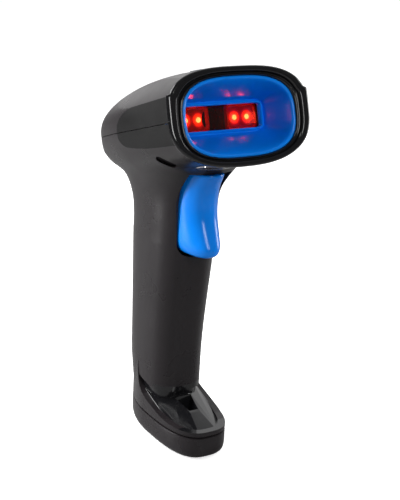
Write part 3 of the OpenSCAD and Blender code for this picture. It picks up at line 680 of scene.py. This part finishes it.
# the line that the handle's lower edge follows, as (y, z)
UNDER_LINE = [(-60, GRIP_END), (-2, GRIP_END), (2, GRIP_END + 0.6), (6, GRIP_END + 1.7), (9, GRIP_END + 2.8),
              (10.6, GRIP_END + 3), (11.5, GRIP_END + 1.5)]
NECK_INSET = 1.5
under = slab([(-60, 4)] + UNDER_LINE + [(12, 4)], -30, 30)
combine(under, as_object(skin([grip(z, NECK_INSET) for z in (2, 12, 20, 40)], 96), "neck_core"))
combine(handle, under)
combine(handle, rim, "UNION")

# %% Roof of the dish
RIDGE_HALF, RIDGE_Y, RIDGE_Z = 3, -18, 17
ROOF_PITCH, ROOF_CLIMB = 0.42, 0.3
ROOF_TOP, POCKET_FLOOR = 21.2, 13
roof = as_object(skin([foot(z, RIM_WIDTH - 0.6) for z in (9.5, 30)], 128), "dish_roof")
combine(roof, beyond((0, 9, 0), (0, 1, 0)))
for side in (-1, 1):
    combine(roof, beyond((side * RIDGE_HALF, RIDGE_Y, RIDGE_Z), (side * ROOF_PITCH, -ROOF_CLIMB, 1)))
RIDGE_LINE = [(-60, 1.5), (RIDGE_Y - 0.6, RIDGE_Z), (-4, ROOF_TOP), (40, ROOF_TOP)]
combine(roof, slab(RIDGE_LINE + [(40, 60), (-60, 60)], -30, 30))
POCKET = [(4.2, -7), (-4.2, -7), (-2.3, -16.9), (2.3, -16.9)]


def pocket_ring(z):
    """The pocket's four corners at a height."""
    return lambda angle: (*POCKET[round(angle / (math.pi / 2)) % 4], z)


combine(roof, as_object(skin([pocket_ring(POCKET_FLOOR), pocket_ring(40)], 4), "pocket_tool"))
soft_edge = roof.modifiers.new("soft_edge", "BEVEL")
soft_edge.width = 0.35 * MM
soft_edge.segments = 2
soft_edge.angle_limit = math.radians(20)
bake(roof)
combine(handle, roof, "UNION")
print("the foot is on the handle")

# %% [markdown]
# ## Open the housing
# The front and the top of the lower moulding are cut away, its sides are planed, and it is hollowed. Then
# come the trigger's opening and the two sound slots. Two copies of the whole skin are kept first, one a
# little larger and one a little smaller, because the glossy strip is what lies between them under the head.

# %% Copies for the glossy strip


def swollen(obj, name, by):
    """A copy of a solid, grown along its own surface by so many millimetres."""
    copy = bpy.data.objects.new(name, obj.data.copy())
    bpy.context.scene.collection.objects.link(copy)
    swell = copy.modifiers.new("swell", "DISPLACE")
    swell.strength, swell.mid_level = by * MM, 0
    bake(copy)
    return copy


STRIP_PROUD, STRIP_SUNK = 0.35, 0.9
strip = swollen(handle, "strip_skin", STRIP_PROUD)
strip_back = swollen(handle, "strip_back", -STRIP_SUNK)

# %% Trim and hollow
combine(handle, beyond_in_head((0, HEAD_START, 0), (0, -1, 0)))
combine(handle, beyond_in_head((0, 0, -SEAM), (0, 0, 1)))
trim_sides(handle, PANEL)
combine(handle, head_hollow())
NECK_WALL = 4.6
room_rings = [grip(z, mix(NECK_WALL, WALL, ease(z, 25, 31))) for z in heights(5, NECK_Z + 6, 6.0)]
room = as_object(skin(room_rings, 64), "handle_room")
combine(handle, room)

# %% Trigger opening
PIN_Y, PIN_Z = -8.3, 127.977
SLOT_HALF, SLOT_LOW, SLOT_ROUND, SLOT_TOP, SLOT_N = 9.35, PIN_Z - 37.2, 7, PIN_Z + 2.9, 2.6
CHEEK_LOW, CHEEK_WIDER = 96, 1.2
BOARD_Y = GRIP_FRONT + 12.5


def slot_tool(front, rear):
    """The outline of the trigger's opening, as a block between two places along Y."""
    def level(y):
        def place(angle):
            z = SLOT_TOP
            if math.sin(angle) < 0:
                z = SLOT_LOW + SLOT_ROUND + SLOT_ROUND * bend(math.sin(angle), SLOT_N)
            return (SLOT_HALF * bend(math.cos(angle), SLOT_N), y, z)
        return place
    return as_object(skin([level(front), level(rear)], 96), "slot_tool")


combine(handle, slot_tool(-70, BOARD_Y))
# the housing is cut back beside the trigger, along a line of (y, z) places
CHEEK = [(-11.0, CHEEK_LOW), (-11.0, 116), (-12, 121), (-14.5, 126), (-17.5, SLOT_TOP)]
cheek_half = SLOT_HALF + CHEEK_WIDER
combine(handle, slab([(-70, CHEEK_LOW)] + CHEEK + [(-70, SLOT_TOP)], -cheek_half, cheek_half))

# %% Sound slots
SOUND_R, SOUND_DEEP = 2.1, 4
SOUND_FIRST, SOUND_LAST = (23.2, 29.3, -13.8), (19.1, 27.3, -16.3)
SOUND_WAY = (-0.5, 0.72, 0.42)


def sound_slot(side):
    """A slanting oblong hole low on one side of the head."""
    first, last, inward = (Vector((side * x, s, t)) for x, s, t in (SOUND_FIRST, SOUND_LAST, SOUND_WAY))
    middle, long_way = (first + last) / 2, (first - last) / 2
    across = inward.cross(long_way).normalized()

    def level(depth):
        def place(angle):
            c = math.cos(angle)
            spot = middle + long_way * math.copysign(1, c) + long_way.normalized() * SOUND_R * c
            return head_point(*(spot + across * SOUND_R * math.sin(angle) + inward * depth))
        return place
    return as_object(skin([level(-SOUND_DEEP), level(SOUND_DEEP)], 64), "sound_slot_tool")


for side in (-1, 1):
    combine(handle, sound_slot(side))
housing = finish_piece(handle, "main_moulding", SATIN_BLACK, "main_housing")

# %% [markdown]
# One moulding can carry more than one finish. The flat side panels have a finer grain, and the dish and the
# neck above it are polished, so their faces get their own slots, picked by where they lie.

# %% Panel and dish finishes
DISH_SLOT, PANEL_SLOT = 2, 1
housing.data.materials.append(PANEL_BLACK)
housing.data.materials.append(GLOSS_BLACK)
top_shell.data.materials.append(PANEL_BLACK)
for obj in (housing, top_shell):
    for face in obj.data.polygons:
        if abs(face.center.x) > (PANEL - 0.04) * MM and abs(face.normal.x) > 0.999:
            face.material_index = PANEL_SLOT
for face in housing.data.polygons:
    x, y, z = face.center / MM
    # under 1 inside the rim's inner edge, at the toe
    across = (abs(x) / (FOOT_HALF - RIM_WIDTH)) ** TOE_N
    toe_way = across + (abs(y - FOOT_MID) / (HEEL + FOOT_MID - RIM_WIDTH)) ** TOE_N
    if 9 < z < GRIP_END + 2.9 and y < 12 and abs(x) < 12.6 and (y > 0 or toe_way < 1):
        face.material_index = DISH_SLOT
print("three finishes on the main moulding")

# %% Glossy strip
TRIM_HALF, TRIM_FROM, TRIM_TO = 13, 7.5, 22.5


def trim_block():
    """The footprint of the glossy strip, as a rounded block under the head."""
    mid, reach = (TRIM_FROM + TRIM_TO) / 2, (TRIM_TO - TRIM_FROM) / 2

    def level(t):
        return lambda a: head_point(TRIM_HALF * bend(math.cos(a), 4), mid + reach * bend(math.sin(a), 3.5), t)
    return as_object(skin([level(-40), level(-5)], 64), "trim_block")


combine(strip, trim_block(), "INTERSECT")
combine(strip, strip_back)
# The strip's light grey colour is a painted reflection of the floor, not the plastic's own colour.
finish_piece(strip, "chin_strip", TRIM_PAINTED_REFLECTION, "neck_trim")

# %% [markdown]
# ## Bezel
# The bezel is a polished frame that clips over the front of both head mouldings. It is one skin that runs
# round the mouth: up the flared outside, over a broad outer band, down into a channel, over a thin inner
# lip, and back along the mouth. Each upper shoulder is hollowed by a round, which gives the bezel its eared
# outline.

# %% Bezel outlines
BEZEL_HALF, BEZEL_TALL = 33.4, 20.1
EAR_TOP = 10.05
SHOULDER_X, SHOULDER_T, SHOULDER_R = BEZEL_HALF + 4.3, BEZEL_TALL - 1.2, 9.8
MOUTH_HALF, MOUTH_TALL, MOUTH_N = 25.3, 14.9, 2.84
HOOD_WALL = 1.2


def reach_of(angle, half, tall, n):
    """Distance from the middle to a squared oval, in a direction."""
    return 1 / ((abs(math.cos(angle)) / half) ** n + (abs(math.sin(angle)) / tall) ** n) ** (1 / n)


def bezel_reach(angle):
    """Distance from the middle of the bezel to its outline."""
    c, s = abs(math.cos(angle)), math.sin(angle)
    far = reach_of(angle, BEZEL_HALF, BEZEL_TALL, 2.95 if s > 0 else 2.5)
    if s > 0:
        far = max(far, min(reach_of(angle, BEZEL_HALF, BEZEL_TALL, 5), EAR_TOP / s))
    # where the direction meets the shoulder's round
    along = c * SHOULDER_X + s * SHOULDER_T
    apart = SHOULDER_X ** 2 + SHOULDER_T ** 2 - along ** 2
    if s > 0 and along > 0 and apart < SHOULDER_R ** 2:
        far = min(far, along - math.sqrt(SHOULDER_R ** 2 - apart))
    return far


def mouth_reach(angle):
    return reach_of(angle, MOUTH_HALF + HOOD_WALL + 0.15, MOUTH_TALL + HOOD_WALL + 0.15, MOUTH_N)


def rear_reach(angle):
    """The outline of the head just behind the bezel."""
    s = math.sin(angle)
    far = reach_of(angle, HEAD_HALF, HEAD_OVER if s > 0 else HEAD_UNDER, 2.75 if s > 0 else 2.6)
    far = min(far, (PANEL + 0.7) / max(1e-6, abs(math.cos(angle))))
    return min(far + 0.25, bezel_reach(angle) - 0.15)


def frame_ring(s, share, rear=0.0):
    """share 0 is the outline and 1 the mouth. rear draws the outline in to the head's."""
    def place(angle):
        edge = mix(bezel_reach(angle), rear_reach(angle), rear)
        far = mix(edge, mouth_reach(angle), share)
        return head_point(far * math.cos(angle), s, far * math.sin(angle))
    return place


# %% Bezel
# each ring's place along the head, its share from the outline to the mouth, and how far it is drawn in
BEZEL_PROFILE = [(6.0, 0, 1.0), (5.4, 0, 0.97), (4.6, 0, 0.8), (3.8, 0, 0.55), (3.0, 0, 0.32),
                 (2.2, 0, 0.14), (1.5, 0, 0.03), (1.0, 0, 0), (0.6, 0.03, 0), (0.3, 0.08, 0),
                 (0.12, 0.15, 0), (0.02, 0.25, 0), (0.0, 0.42, 0), (0.06, 0.5, 0), (0.3, 0.56, 0),
                 (0.9, 0.6, 0), (1.5, 0.63, 0), (1.72, 0.68, 0), (1.75, 0.74, 0), (1.5, 0.78, 0),
                 (0.95, 0.8, 0), (0.6, 0.83, 0), (0.45, 0.88, 0), (0.5, 0.93, 0), (0.75, 0.97, 0),
                 (1.2, 1.0, 0), (2.5, 1.0, 0), (8.9, 1.0, 0), (9.0, 0.8, 1.0), (6.6, 0.55, 1.0),
                 (6.1, 0.5, 1.0)]
bezel = as_object(skin([frame_ring(*p) for p in BEZEL_PROFILE], 256, closed=True), "bezel_skin")
SEAM_FROM, SEAM_HALF = 32.9, 0.09
for side in (-1, 1):
    near, far = side * SEAM_FROM, side * 60
    seam = slab([(near, -SEAM_HALF), (far, -SEAM_HALF), (far, SEAM_HALF), (near, SEAM_HALF)], -5, 4, "y")
    seam.data.transform(head_matrix())
    combine(bezel, seam)
finish_piece(bezel, "polished_bezel", GLOSS_BLACK, "front_bezel", sharp=40)

# %% [markdown]
# ## Hood
# Behind the bezel the blue hood narrows to the window like a shallow funnel, and ends in a small raised
# frame. Its inner skin and its outer skin are one closed row of rings, so the hood has a real wall and a
# real rim.

# %% Hood
HOOD_FRONT, HOOD_DEPTH, WINDOW_UP = 1.2, 21, 1.2
WINDOW_HALF, WINDOW_TALL = 21.1, 5.1
STEP_DEEP = 1.9


def hood_ring(s, half, tall, n, lift):
    """A squared oval across the head, lifted off the head's middle line."""
    return lambda a: head_point(half * bend(math.cos(a), n), s, lift + tall * bend(math.sin(a), n))


def funnel(u, grow, s_shift=0.0):
    """The hood's ring at a share of the way from its rim to the window."""
    half = mix(MOUTH_HALF, WINDOW_HALF + 1.6, u ** 0.8) + grow
    tall = mix(MOUTH_TALL, WINDOW_TALL + 1.7, u ** 0.85) + grow
    s = mix(HOOD_FRONT, HOOD_DEPTH - STEP_DEEP, u) + s_shift
    return hood_ring(s, half, tall, mix(MOUTH_N, 7, u ** 1.3), WINDOW_UP * u)


rim_over = [funnel(0, 0.9, -0.25), funnel(0, 0.5, -0.32), funnel(0, 0.15, -0.15)]
inner = rim_over + [funnel(i / 28, 0) for i in range(29)]
# the raised frame: how far each ring lies before the window, its two margins, and its squareness
step = [(STEP_DEEP, 1.35, 1.4, 9), (2.0, 1.15, 1.15, 10), (2.55, 0.95, 0.95, 11), (2.75, 0.7, 0.7, 12),
        (2.78, 0.25, 0.25, 14), (2.55, 0.05, 0.05, 16), (0.15, 0.0, 0.0, 16)]
window_frame = [hood_ring(HOOD_DEPTH - before, WINDOW_HALF + a, WINDOW_TALL + b, n, WINDOW_UP)
                for before, a, b, n in step]
outer_end = [hood_ring(HOOD_DEPTH - 0.05, WINDOW_HALF + 2.8, WINDOW_TALL + 2.9, 9, WINDOW_UP)]
outer = [funnel(1 - i / 14, HOOD_WALL) for i in range(15)]
hood = as_object(skin(inner + window_frame + outer_end + outer, 192, closed=True), "hood_skin")
finish_piece(hood, "blue_hood", BLUE, "scan_hood", sharp=50)

# %% [markdown]
# ## Window, lamps and lens
# The pane is a bevelled sheet of red acrylic. Behind it, on each side of the dark camera barrel, two lamps
# glow in a tray. The tray is modelled, and the light that the lamps throw on it is painted on it as a glow
# that fades with the distance from each lamp.

# %% Window pane
pane_bm = bmesh.new()
bmesh.ops.create_cube(pane_bm, size=1.0)
PANE_FROM, PANE_THICK, PANE_OVER = HOOD_DEPTH + 0.8, 1.5, 1.7
bmesh.ops.scale(pane_bm, verts=pane_bm.verts,
                vec=Vector((2 * (WINDOW_HALF + PANE_OVER), PANE_THICK, 2 * (WINDOW_TALL + PANE_OVER))) * MM)
bmesh.ops.bevel(pane_bm, geom=pane_bm.edges[:], offset=0.25 * MM, segments=2, profile=0.5, affect="EDGES",
                material=-1)
bmesh.ops.translate(pane_bm, verts=pane_bm.verts, vec=Vector((0, PANE_FROM + PANE_THICK / 2, WINDOW_UP)) * MM)
pane_bm.transform(head_matrix())
finish_piece(as_object(pane_bm, "pane"), "red_pane", RED_ACRYLIC, "scan_window")

# %% Lamp light
LAMP_X = (-11.5, -5.5, 11.5, 17.5)
TRAY_S = 25.7


def lamp_light(name, core, halo, strength, reach):
    """A glow that fades with the distance from each lamp. On the tray it is painted lamp light; on the beads
    it is the lamps' own light.
    """
    m, t, shader = new_finish(name, Base_Color=(0.25, 0.004, 0.002, 1))
    where = add(t, "ShaderNodeTexCoord").outputs["Object"]
    total = None
    for x in LAMP_X:
        away = add(t, "ShaderNodeVectorMath", {0: where}, operation="DISTANCE")
        away.inputs[1].default_value = Vector(head_point(x, TRAY_S, WINDOW_UP)) * MM
        fade = add(t, "ShaderNodeMapRange", {"Value": away.outputs["Value"]},
                   interpolation_type="SMOOTHERSTEP", From_Min=reach * MM, From_Max=0.4 * MM, To_Min=0.0,
                   To_Max=1.0)
        power = add(t, "ShaderNodeMath", {0: fade.outputs[0]}, operation="POWER")
        power.inputs[1].default_value = 2.2
        if total is None:
            total = power
        else:
            total = add(t, "ShaderNodeMath", {0: total.outputs[0], 1: power.outputs[0]}, operation="ADD")
    grit = add(t, "ShaderNodeTexNoise", {"Vector": where}, Scale=900.0, Detail=2.0)
    rough = add(t, "ShaderNodeMapRange", {"Value": grit.outputs["Fac"]}, To_Min=0.7, To_Max=1.3)
    lit = times(t, total.outputs[0], rough.outputs[0])
    t.links.new(blend(t, lit, halo, core), shader.inputs["Emission Color"])
    gain = add(t, "ShaderNodeMath", {0: lit}, operation="MULTIPLY_ADD")
    gain.inputs[1].default_value, gain.inputs[2].default_value = strength, 0.1
    t.links.new(gain.outputs[0], shader.inputs["Emission Strength"])
    return m


# The tray is a reflector, not a lamp: its glow is painted light, the pool that the lamps would throw on it.
TRAY_PAINTED_LIGHT = lamp_light("lamp_tray_painted_light", (1.0, 0.5, 0.16), (0.8, 0.012, 0.004), 3.2, 4.6)

# %% Lamp trays


def tray(side):
    """A shallow dished reflector behind two lamps."""
    middle = sum(LAMP_X[:2]) / 2 if side < 0 else sum(LAMP_X[2:]) / 2

    def level(s, half, tall, n=6):
        return lambda a: head_point(middle + half * bend(math.cos(a), n), s,
                                    WINDOW_UP + tall * bend(math.sin(a), n))
    rings = [level(26.2, 7.4, 5.7), level(24.6, 7.4, 5.7), level(24.4, 7.2, 5.5), level(24.4, 6.9, 5.2),
             level(24.6, 6.7, 5.0), level(25.2, 6.4, 4.6), level(TRAY_S, 5.9, 4.0)]
    return as_object(skin(rings, 64), "tray_half")


# Each tray carries the painted lamp light.
for side, label in ((-1, "left"), (1, "right")):
    finish_piece(tray(side), f"lamp_tray_{label}", TRAY_PAINTED_LIGHT, *(["illumination_leds"] if side < 0 else []))

# %% Lamps
lamp_bm = bmesh.new()
for x in LAMP_X:
    made = bmesh.ops.create_uvsphere(lamp_bm, u_segments=24, v_segments=12, radius=1.0 * MM)["verts"]
    bmesh.ops.scale(lamp_bm, verts=made, vec=(1, 0.7, 1))
    bmesh.ops.translate(lamp_bm, verts=made, vec=Vector((x, TRAY_S - 0.2, WINDOW_UP)) * MM)
lamp_bm.transform(head_matrix())
LAMP = lamp_light("lamp_bead_glow", (1.0, 0.85, 0.5), (1.0, 0.5, 0.14), 20.0, 4.0)
finish_piece(as_object(lamp_bm, "lamp_beads"), "lamp_beads", LAMP)

# %% [markdown]
# ## Trigger
# The trigger hangs from a pin under the chin. Its front is hollow where the finger rests and swells to a
# full lip at the foot. A smooth curve through a few stations gives each ring its reach and its width.

# %% Trigger stations
TRIGGER_TOP, TRIGGER_TALL, TRIGGER_REACH, TRIGGER_HALF = 2.6, 35, 17.9, 9
# how far down the trigger each station lies, its share of the reach, and its share of the width
STATIONS = [(0, 0.97, 0.985), (0.02, 0.98, 1), (0.18, 0.78, 1), (0.37, 0.69, 1), (0.56, 0.73, 1),
            (0.74, 0.88, 1), (0.87, 1.0, 0.97), (0.94, 0.985, 0.88), (0.98, 0.9, 0.74),
            (1.0, 0.72, 0.52), (1.008, 0.5, 0.32)]


def smooth_through(stations, k):
    """Values on a smooth curve through the stations, by how far down k lies."""
    i = max(j for j in range(len(stations) - 1) if stations[j][0] <= k or j == 0)
    a, b = stations[max(0, i - 1)], stations[i]
    c, d = stations[i + 1], stations[min(len(stations) - 1, i + 2)]
    t = min(1, (k - b[0]) / (c[0] - b[0]))
    out = []
    for q in (1, 2):
        m0 = (c[q] - a[q]) / (c[0] - a[0]) * (c[0] - b[0])
        m1 = (d[q] - b[q]) / (d[0] - b[0]) * (c[0] - b[0])
        out.append((2 * t ** 3 - 3 * t ** 2 + 1) * b[q] + (t ** 3 - 2 * t ** 2 + t) * m0
                   + (3 * t ** 2 - 2 * t ** 3) * c[q] + (t ** 3 - t ** 2) * m1)
    return out


def trigger_ring(k):
    reach, width = smooth_through(STATIONS, k)
    z = PIN_Z + mix(TRIGGER_TOP, -TRIGGER_TALL, k)

    def place(angle):
        front = math.sin(angle) < 0
        n = 2.25 if front else 9
        y = TRIGGER_REACH * reach * bend(math.sin(angle), n) if front else 2 * bend(math.sin(angle), n)
        return (TRIGGER_HALF * width * bend(math.cos(angle), n), PIN_Y + y, z)
    return place


# %% Trigger
lip = [0.95, 0.965, 0.98, 0.99, 0.996, 1.0, 1.005]
downs = sorted(set([0, 0.006, 0.015] + [i / 48 for i in range(1, 46)] + lip))
trigger = as_object(skin([trigger_ring(k) for k in downs], 128), "trigger_skin")
# the trigger is a shell, open to the rear
shell_front, shell_rear, shell_low, shell_high = PIN_Y - 6.7, PIN_Y + 9, PIN_Z - 28, PIN_Z - 4
shell_room = [(shell_front, shell_low), (shell_rear, shell_low), (shell_rear, shell_high),
              (shell_front, shell_high)]
combine(trigger, slab(shell_room, -6.8, 6.8))
finish_piece(trigger, "blue_trigger", BLUE, "trigger", body=LEVER, sharp=40)

# %% [markdown]
# ## Base cap and pad
# The cap closes the foot from below. Its lower edge is well rounded so that it slides over a counter, and
# its upper edge meets the rim in a fine shadow line. The pad is a thin rubber sole in a recess.

# %% Base cap
CAP = [(0.5, 3.4), (0.62, 2.3), (1.0, 1.45), (1.7, 0.75), (2.6, 0.3), (3.8, 0.06), (5.0, 0),
       (CAP_TOP - 0.5, 0), (CAP_TOP - 0.15, 0.12), (CAP_TOP, 0.45)]
cap = as_object(skin([foot(z, inset) for z, inset in CAP], 192), "cap_skin")
combine(cap, as_object(skin([foot(2.9, 2), foot(30, 2)], 96), "cap_room"))
combine(cap, as_object(skin([foot(-5, 4.85), foot(1.2, 4.85)], 96), "pad_seat"))
port_low, port_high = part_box("charging_socket")
PORT_HALF, PORT_GAP = 4.65, 0.15
port_z = (port_low.z / MM - PORT_GAP, port_high.z / MM + PORT_GAP)
port = [(-PORT_HALF, port_z[0]), (PORT_HALF, port_z[0]), (PORT_HALF, port_z[1]), (-PORT_HALF, port_z[1])]
combine(cap, slab(port, 24, 60, "y"))
finish_piece(cap, "foot_cap", SATIN_BLACK, "base_cap")

# %% Pad
PAD = [(0, 5.5), (0.12, 5.15), (0.35, 5.0), (1.2, 5.0)]
pad = as_object(skin([foot(z, inset) for z, inset in PAD], 128), "pad_skin")
finish_piece(pad, "rubber_sole", RUBBER, "base_pad")

# %% [markdown]
# ## Return spring
# A spring can't follow a hinge as a rigid piece. Here it is a wire swept along a coil, and it moves with the
# housing.

# %% Spring
SPRING_FROM = PIN_Y + 4.1 - TRIGGER_REACH * 0.6
SPRING_TO = BOARD_Y - 0.1
SPRING_Z = PIN_Z - 0.45 * TRIGGER_TALL
SPRING_R, WIRE_R, TURNS, STEPS = 2.5, 0.3, 5, 32
coil = bmesh.new()
bmesh.ops.create_circle(coil, segments=12, radius=WIRE_R * MM, cap_ends=True)
bmesh.ops.rotate(coil, verts=coil.verts, cent=(0, 0, 0), matrix=Matrix.Rotation(math.radians(4), 3, "X"))
bmesh.ops.translate(coil, verts=coil.verts, vec=Vector((SPRING_R, SPRING_FROM + WIRE_R, SPRING_Z)) * MM)
rise = (SPRING_TO - SPRING_FROM - 2 * WIRE_R) / (TURNS * STEPS)
bmesh.ops.spin(coil, geom=coil.verts[:] + coil.edges[:] + coil.faces[:], cent=Vector((0, 0, SPRING_Z)) * MM,
               axis=(0, 1, 0), dvec=Vector((0, rise, 0)) * MM, angle=math.tau * TURNS, steps=TURNS * STEPS,
               use_merge=False)
bmesh.ops.recalc_face_normals(coil, faces=coil.faces)
spring = finish_piece(as_object(coil, "coil"), "return_spring", STEEL, "trigger_spring")
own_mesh(spring)

# %% [markdown]
# ## Finishes for the inner pieces
# The frame's own solids inside the housing keep their shape, and each takes the finish of what it is made
# of.

# %% Paint the inner pieces
FINISH = {
    "window_gasket": RUBBER, "light_pipe": CLEAR, "trigger_pin": STEEL, "trigger_switch": EPOXY,
    "switch_plunger": WHITE, "inner_chassis": CHASSIS, "engine_frame": CHASSIS, "engine_lens": GLOSS_BLACK,
    "imager_board": BOARD, "led_board": BOARD, "engine_screws": STEEL, "flex_cable": FILM,
    "main_board": BOARD, "board_chips": EPOXY, "beeper": EPOXY, "board_screws": STEEL,
    "battery_cell": FOIL, "battery_foam": FOAM, "battery_lead": WIRE, "charging_socket": STEEL,
    "socket_board": BOARD, "base_screws": STEEL, "head_screws": STEEL,
}
for name, finish in FINISH.items():
    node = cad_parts[name]
    if not node.data.materials:
        node.data.materials.append(finish)
    for i in range(len(node.material_slots)):
        node.material_slots[i].link = "OBJECT"
        node.material_slots[i].material = finish
print(len(FINISH), "inner pieces painted")

# %% [markdown]
# ## Studio
# A pale paper floor, a large soft box above and behind to the left, a strip in front for the gloss, a box
# to the right, and a strip behind to the left that draws a light line down the handle's edge. The camera
# sees white air and a bright floor. The scanner sees air that is bright behind it and dim in front, and a
# darker floor, so that the black mouldings stay black.

# %% Floor
floor_bm = bmesh.new()
bmesh.ops.create_grid(floor_bm, x_segments=1, y_segments=1, size=400.0)
floor = as_object(floor_bm, "floor")
floor.data.materials.append(bpy.data.materials.new("floor_paper"))
floor.data.materials[0].use_nodes = True
paper = floor.data.materials[0].node_tree
sheet = paper.nodes["Principled BSDF"]
sheet.inputs["Roughness"].default_value = 0.6
sheet.inputs["Emission Color"].default_value = (1, 1, 1, 1)
paper_seen = add(paper, "ShaderNodeLightPath").outputs["Is Camera Ray"]
tone = add(paper, "ShaderNodeMix", {"Factor": paper_seen}, data_type="RGBA")
tone.inputs[6].default_value, tone.inputs[7].default_value = (0.3, 0.3, 0.3, 1), (0.93, 0.93, 0.93, 1)
paper.links.new(tone.outputs[2], sheet.inputs["Base Color"])
glow = add(paper, "ShaderNodeMath", {0: paper_seen}, operation="MULTIPLY")
glow.inputs[1].default_value = 0.6
paper.links.new(glow.outputs[0], sheet.inputs["Emission Strength"])

# %% Lights


def soft_box(name, place, aim, width, height, power):
    """A white area light in millimetres that points at a place."""
    data = bpy.data.lights.new(name, "AREA")
    data.shape, data.size, data.size_y = "RECTANGLE", width * MM, height * MM
    data.energy = power
    obj = bpy.data.objects.new(name, data)
    obj.location = Vector(place) * MM
    obj.rotation_mode = "QUATERNION"
    obj.rotation_quaternion = (Vector(aim) - Vector(place)).to_track_quat("-Z", "Y")
    bpy.context.scene.collection.objects.link(obj)
    return obj


MIDDLE = (0, 0, 100)
soft_box("key_box", (-420, 260, 600), MIDDLE, 420, 420, 5.5)
soft_box("front_strip", (-60, -620, 420), MIDDLE, 160, 360, 2.2)
soft_box("rear_box", (640, -60, 240), MIDDLE, 200, 400, 2.0)
soft_box("left_strip", (-560, 300, 170), MIDDLE, 150, 520, 5.0)
world = bpy.data.worlds.new("studio_air")
bpy.context.scene.world = world
world.use_nodes = True
air = world.node_tree
dim = air.nodes["Background"]
dim.inputs["Color"].default_value = (1, 1, 1, 1)
sky_way = add(air, "ShaderNodeTexCoord").outputs["Generated"]
heading = add(air, "ShaderNodeVectorMath", {0: sky_way}, operation="DOT_PRODUCT")
heading.inputs[1].default_value = (0.45, 0.8, 0.1)
fall = add(air, "ShaderNodeMapRange", {"Value": heading.outputs["Value"]}, interpolation_type="SMOOTHSTEP",
           From_Min=0.0, From_Max=0.9, To_Min=0.12, To_Max=1.1)
air.links.new(fall.outputs[0], dim.inputs["Strength"])
bright = add(air, "ShaderNodeBackground", Color=(1, 1, 1, 1), Strength=1.0)
seen = add(air, "ShaderNodeLightPath").outputs["Is Camera Ray"]
blend_air = add(air, "ShaderNodeMixShader", {0: seen, 1: dim.outputs[0], 2: bright.outputs[0]})
air.links.new(blend_air.outputs[0], air.nodes["World Output"].inputs["Surface"])
bpy.context.scene.view_settings.view_transform = "Standard"
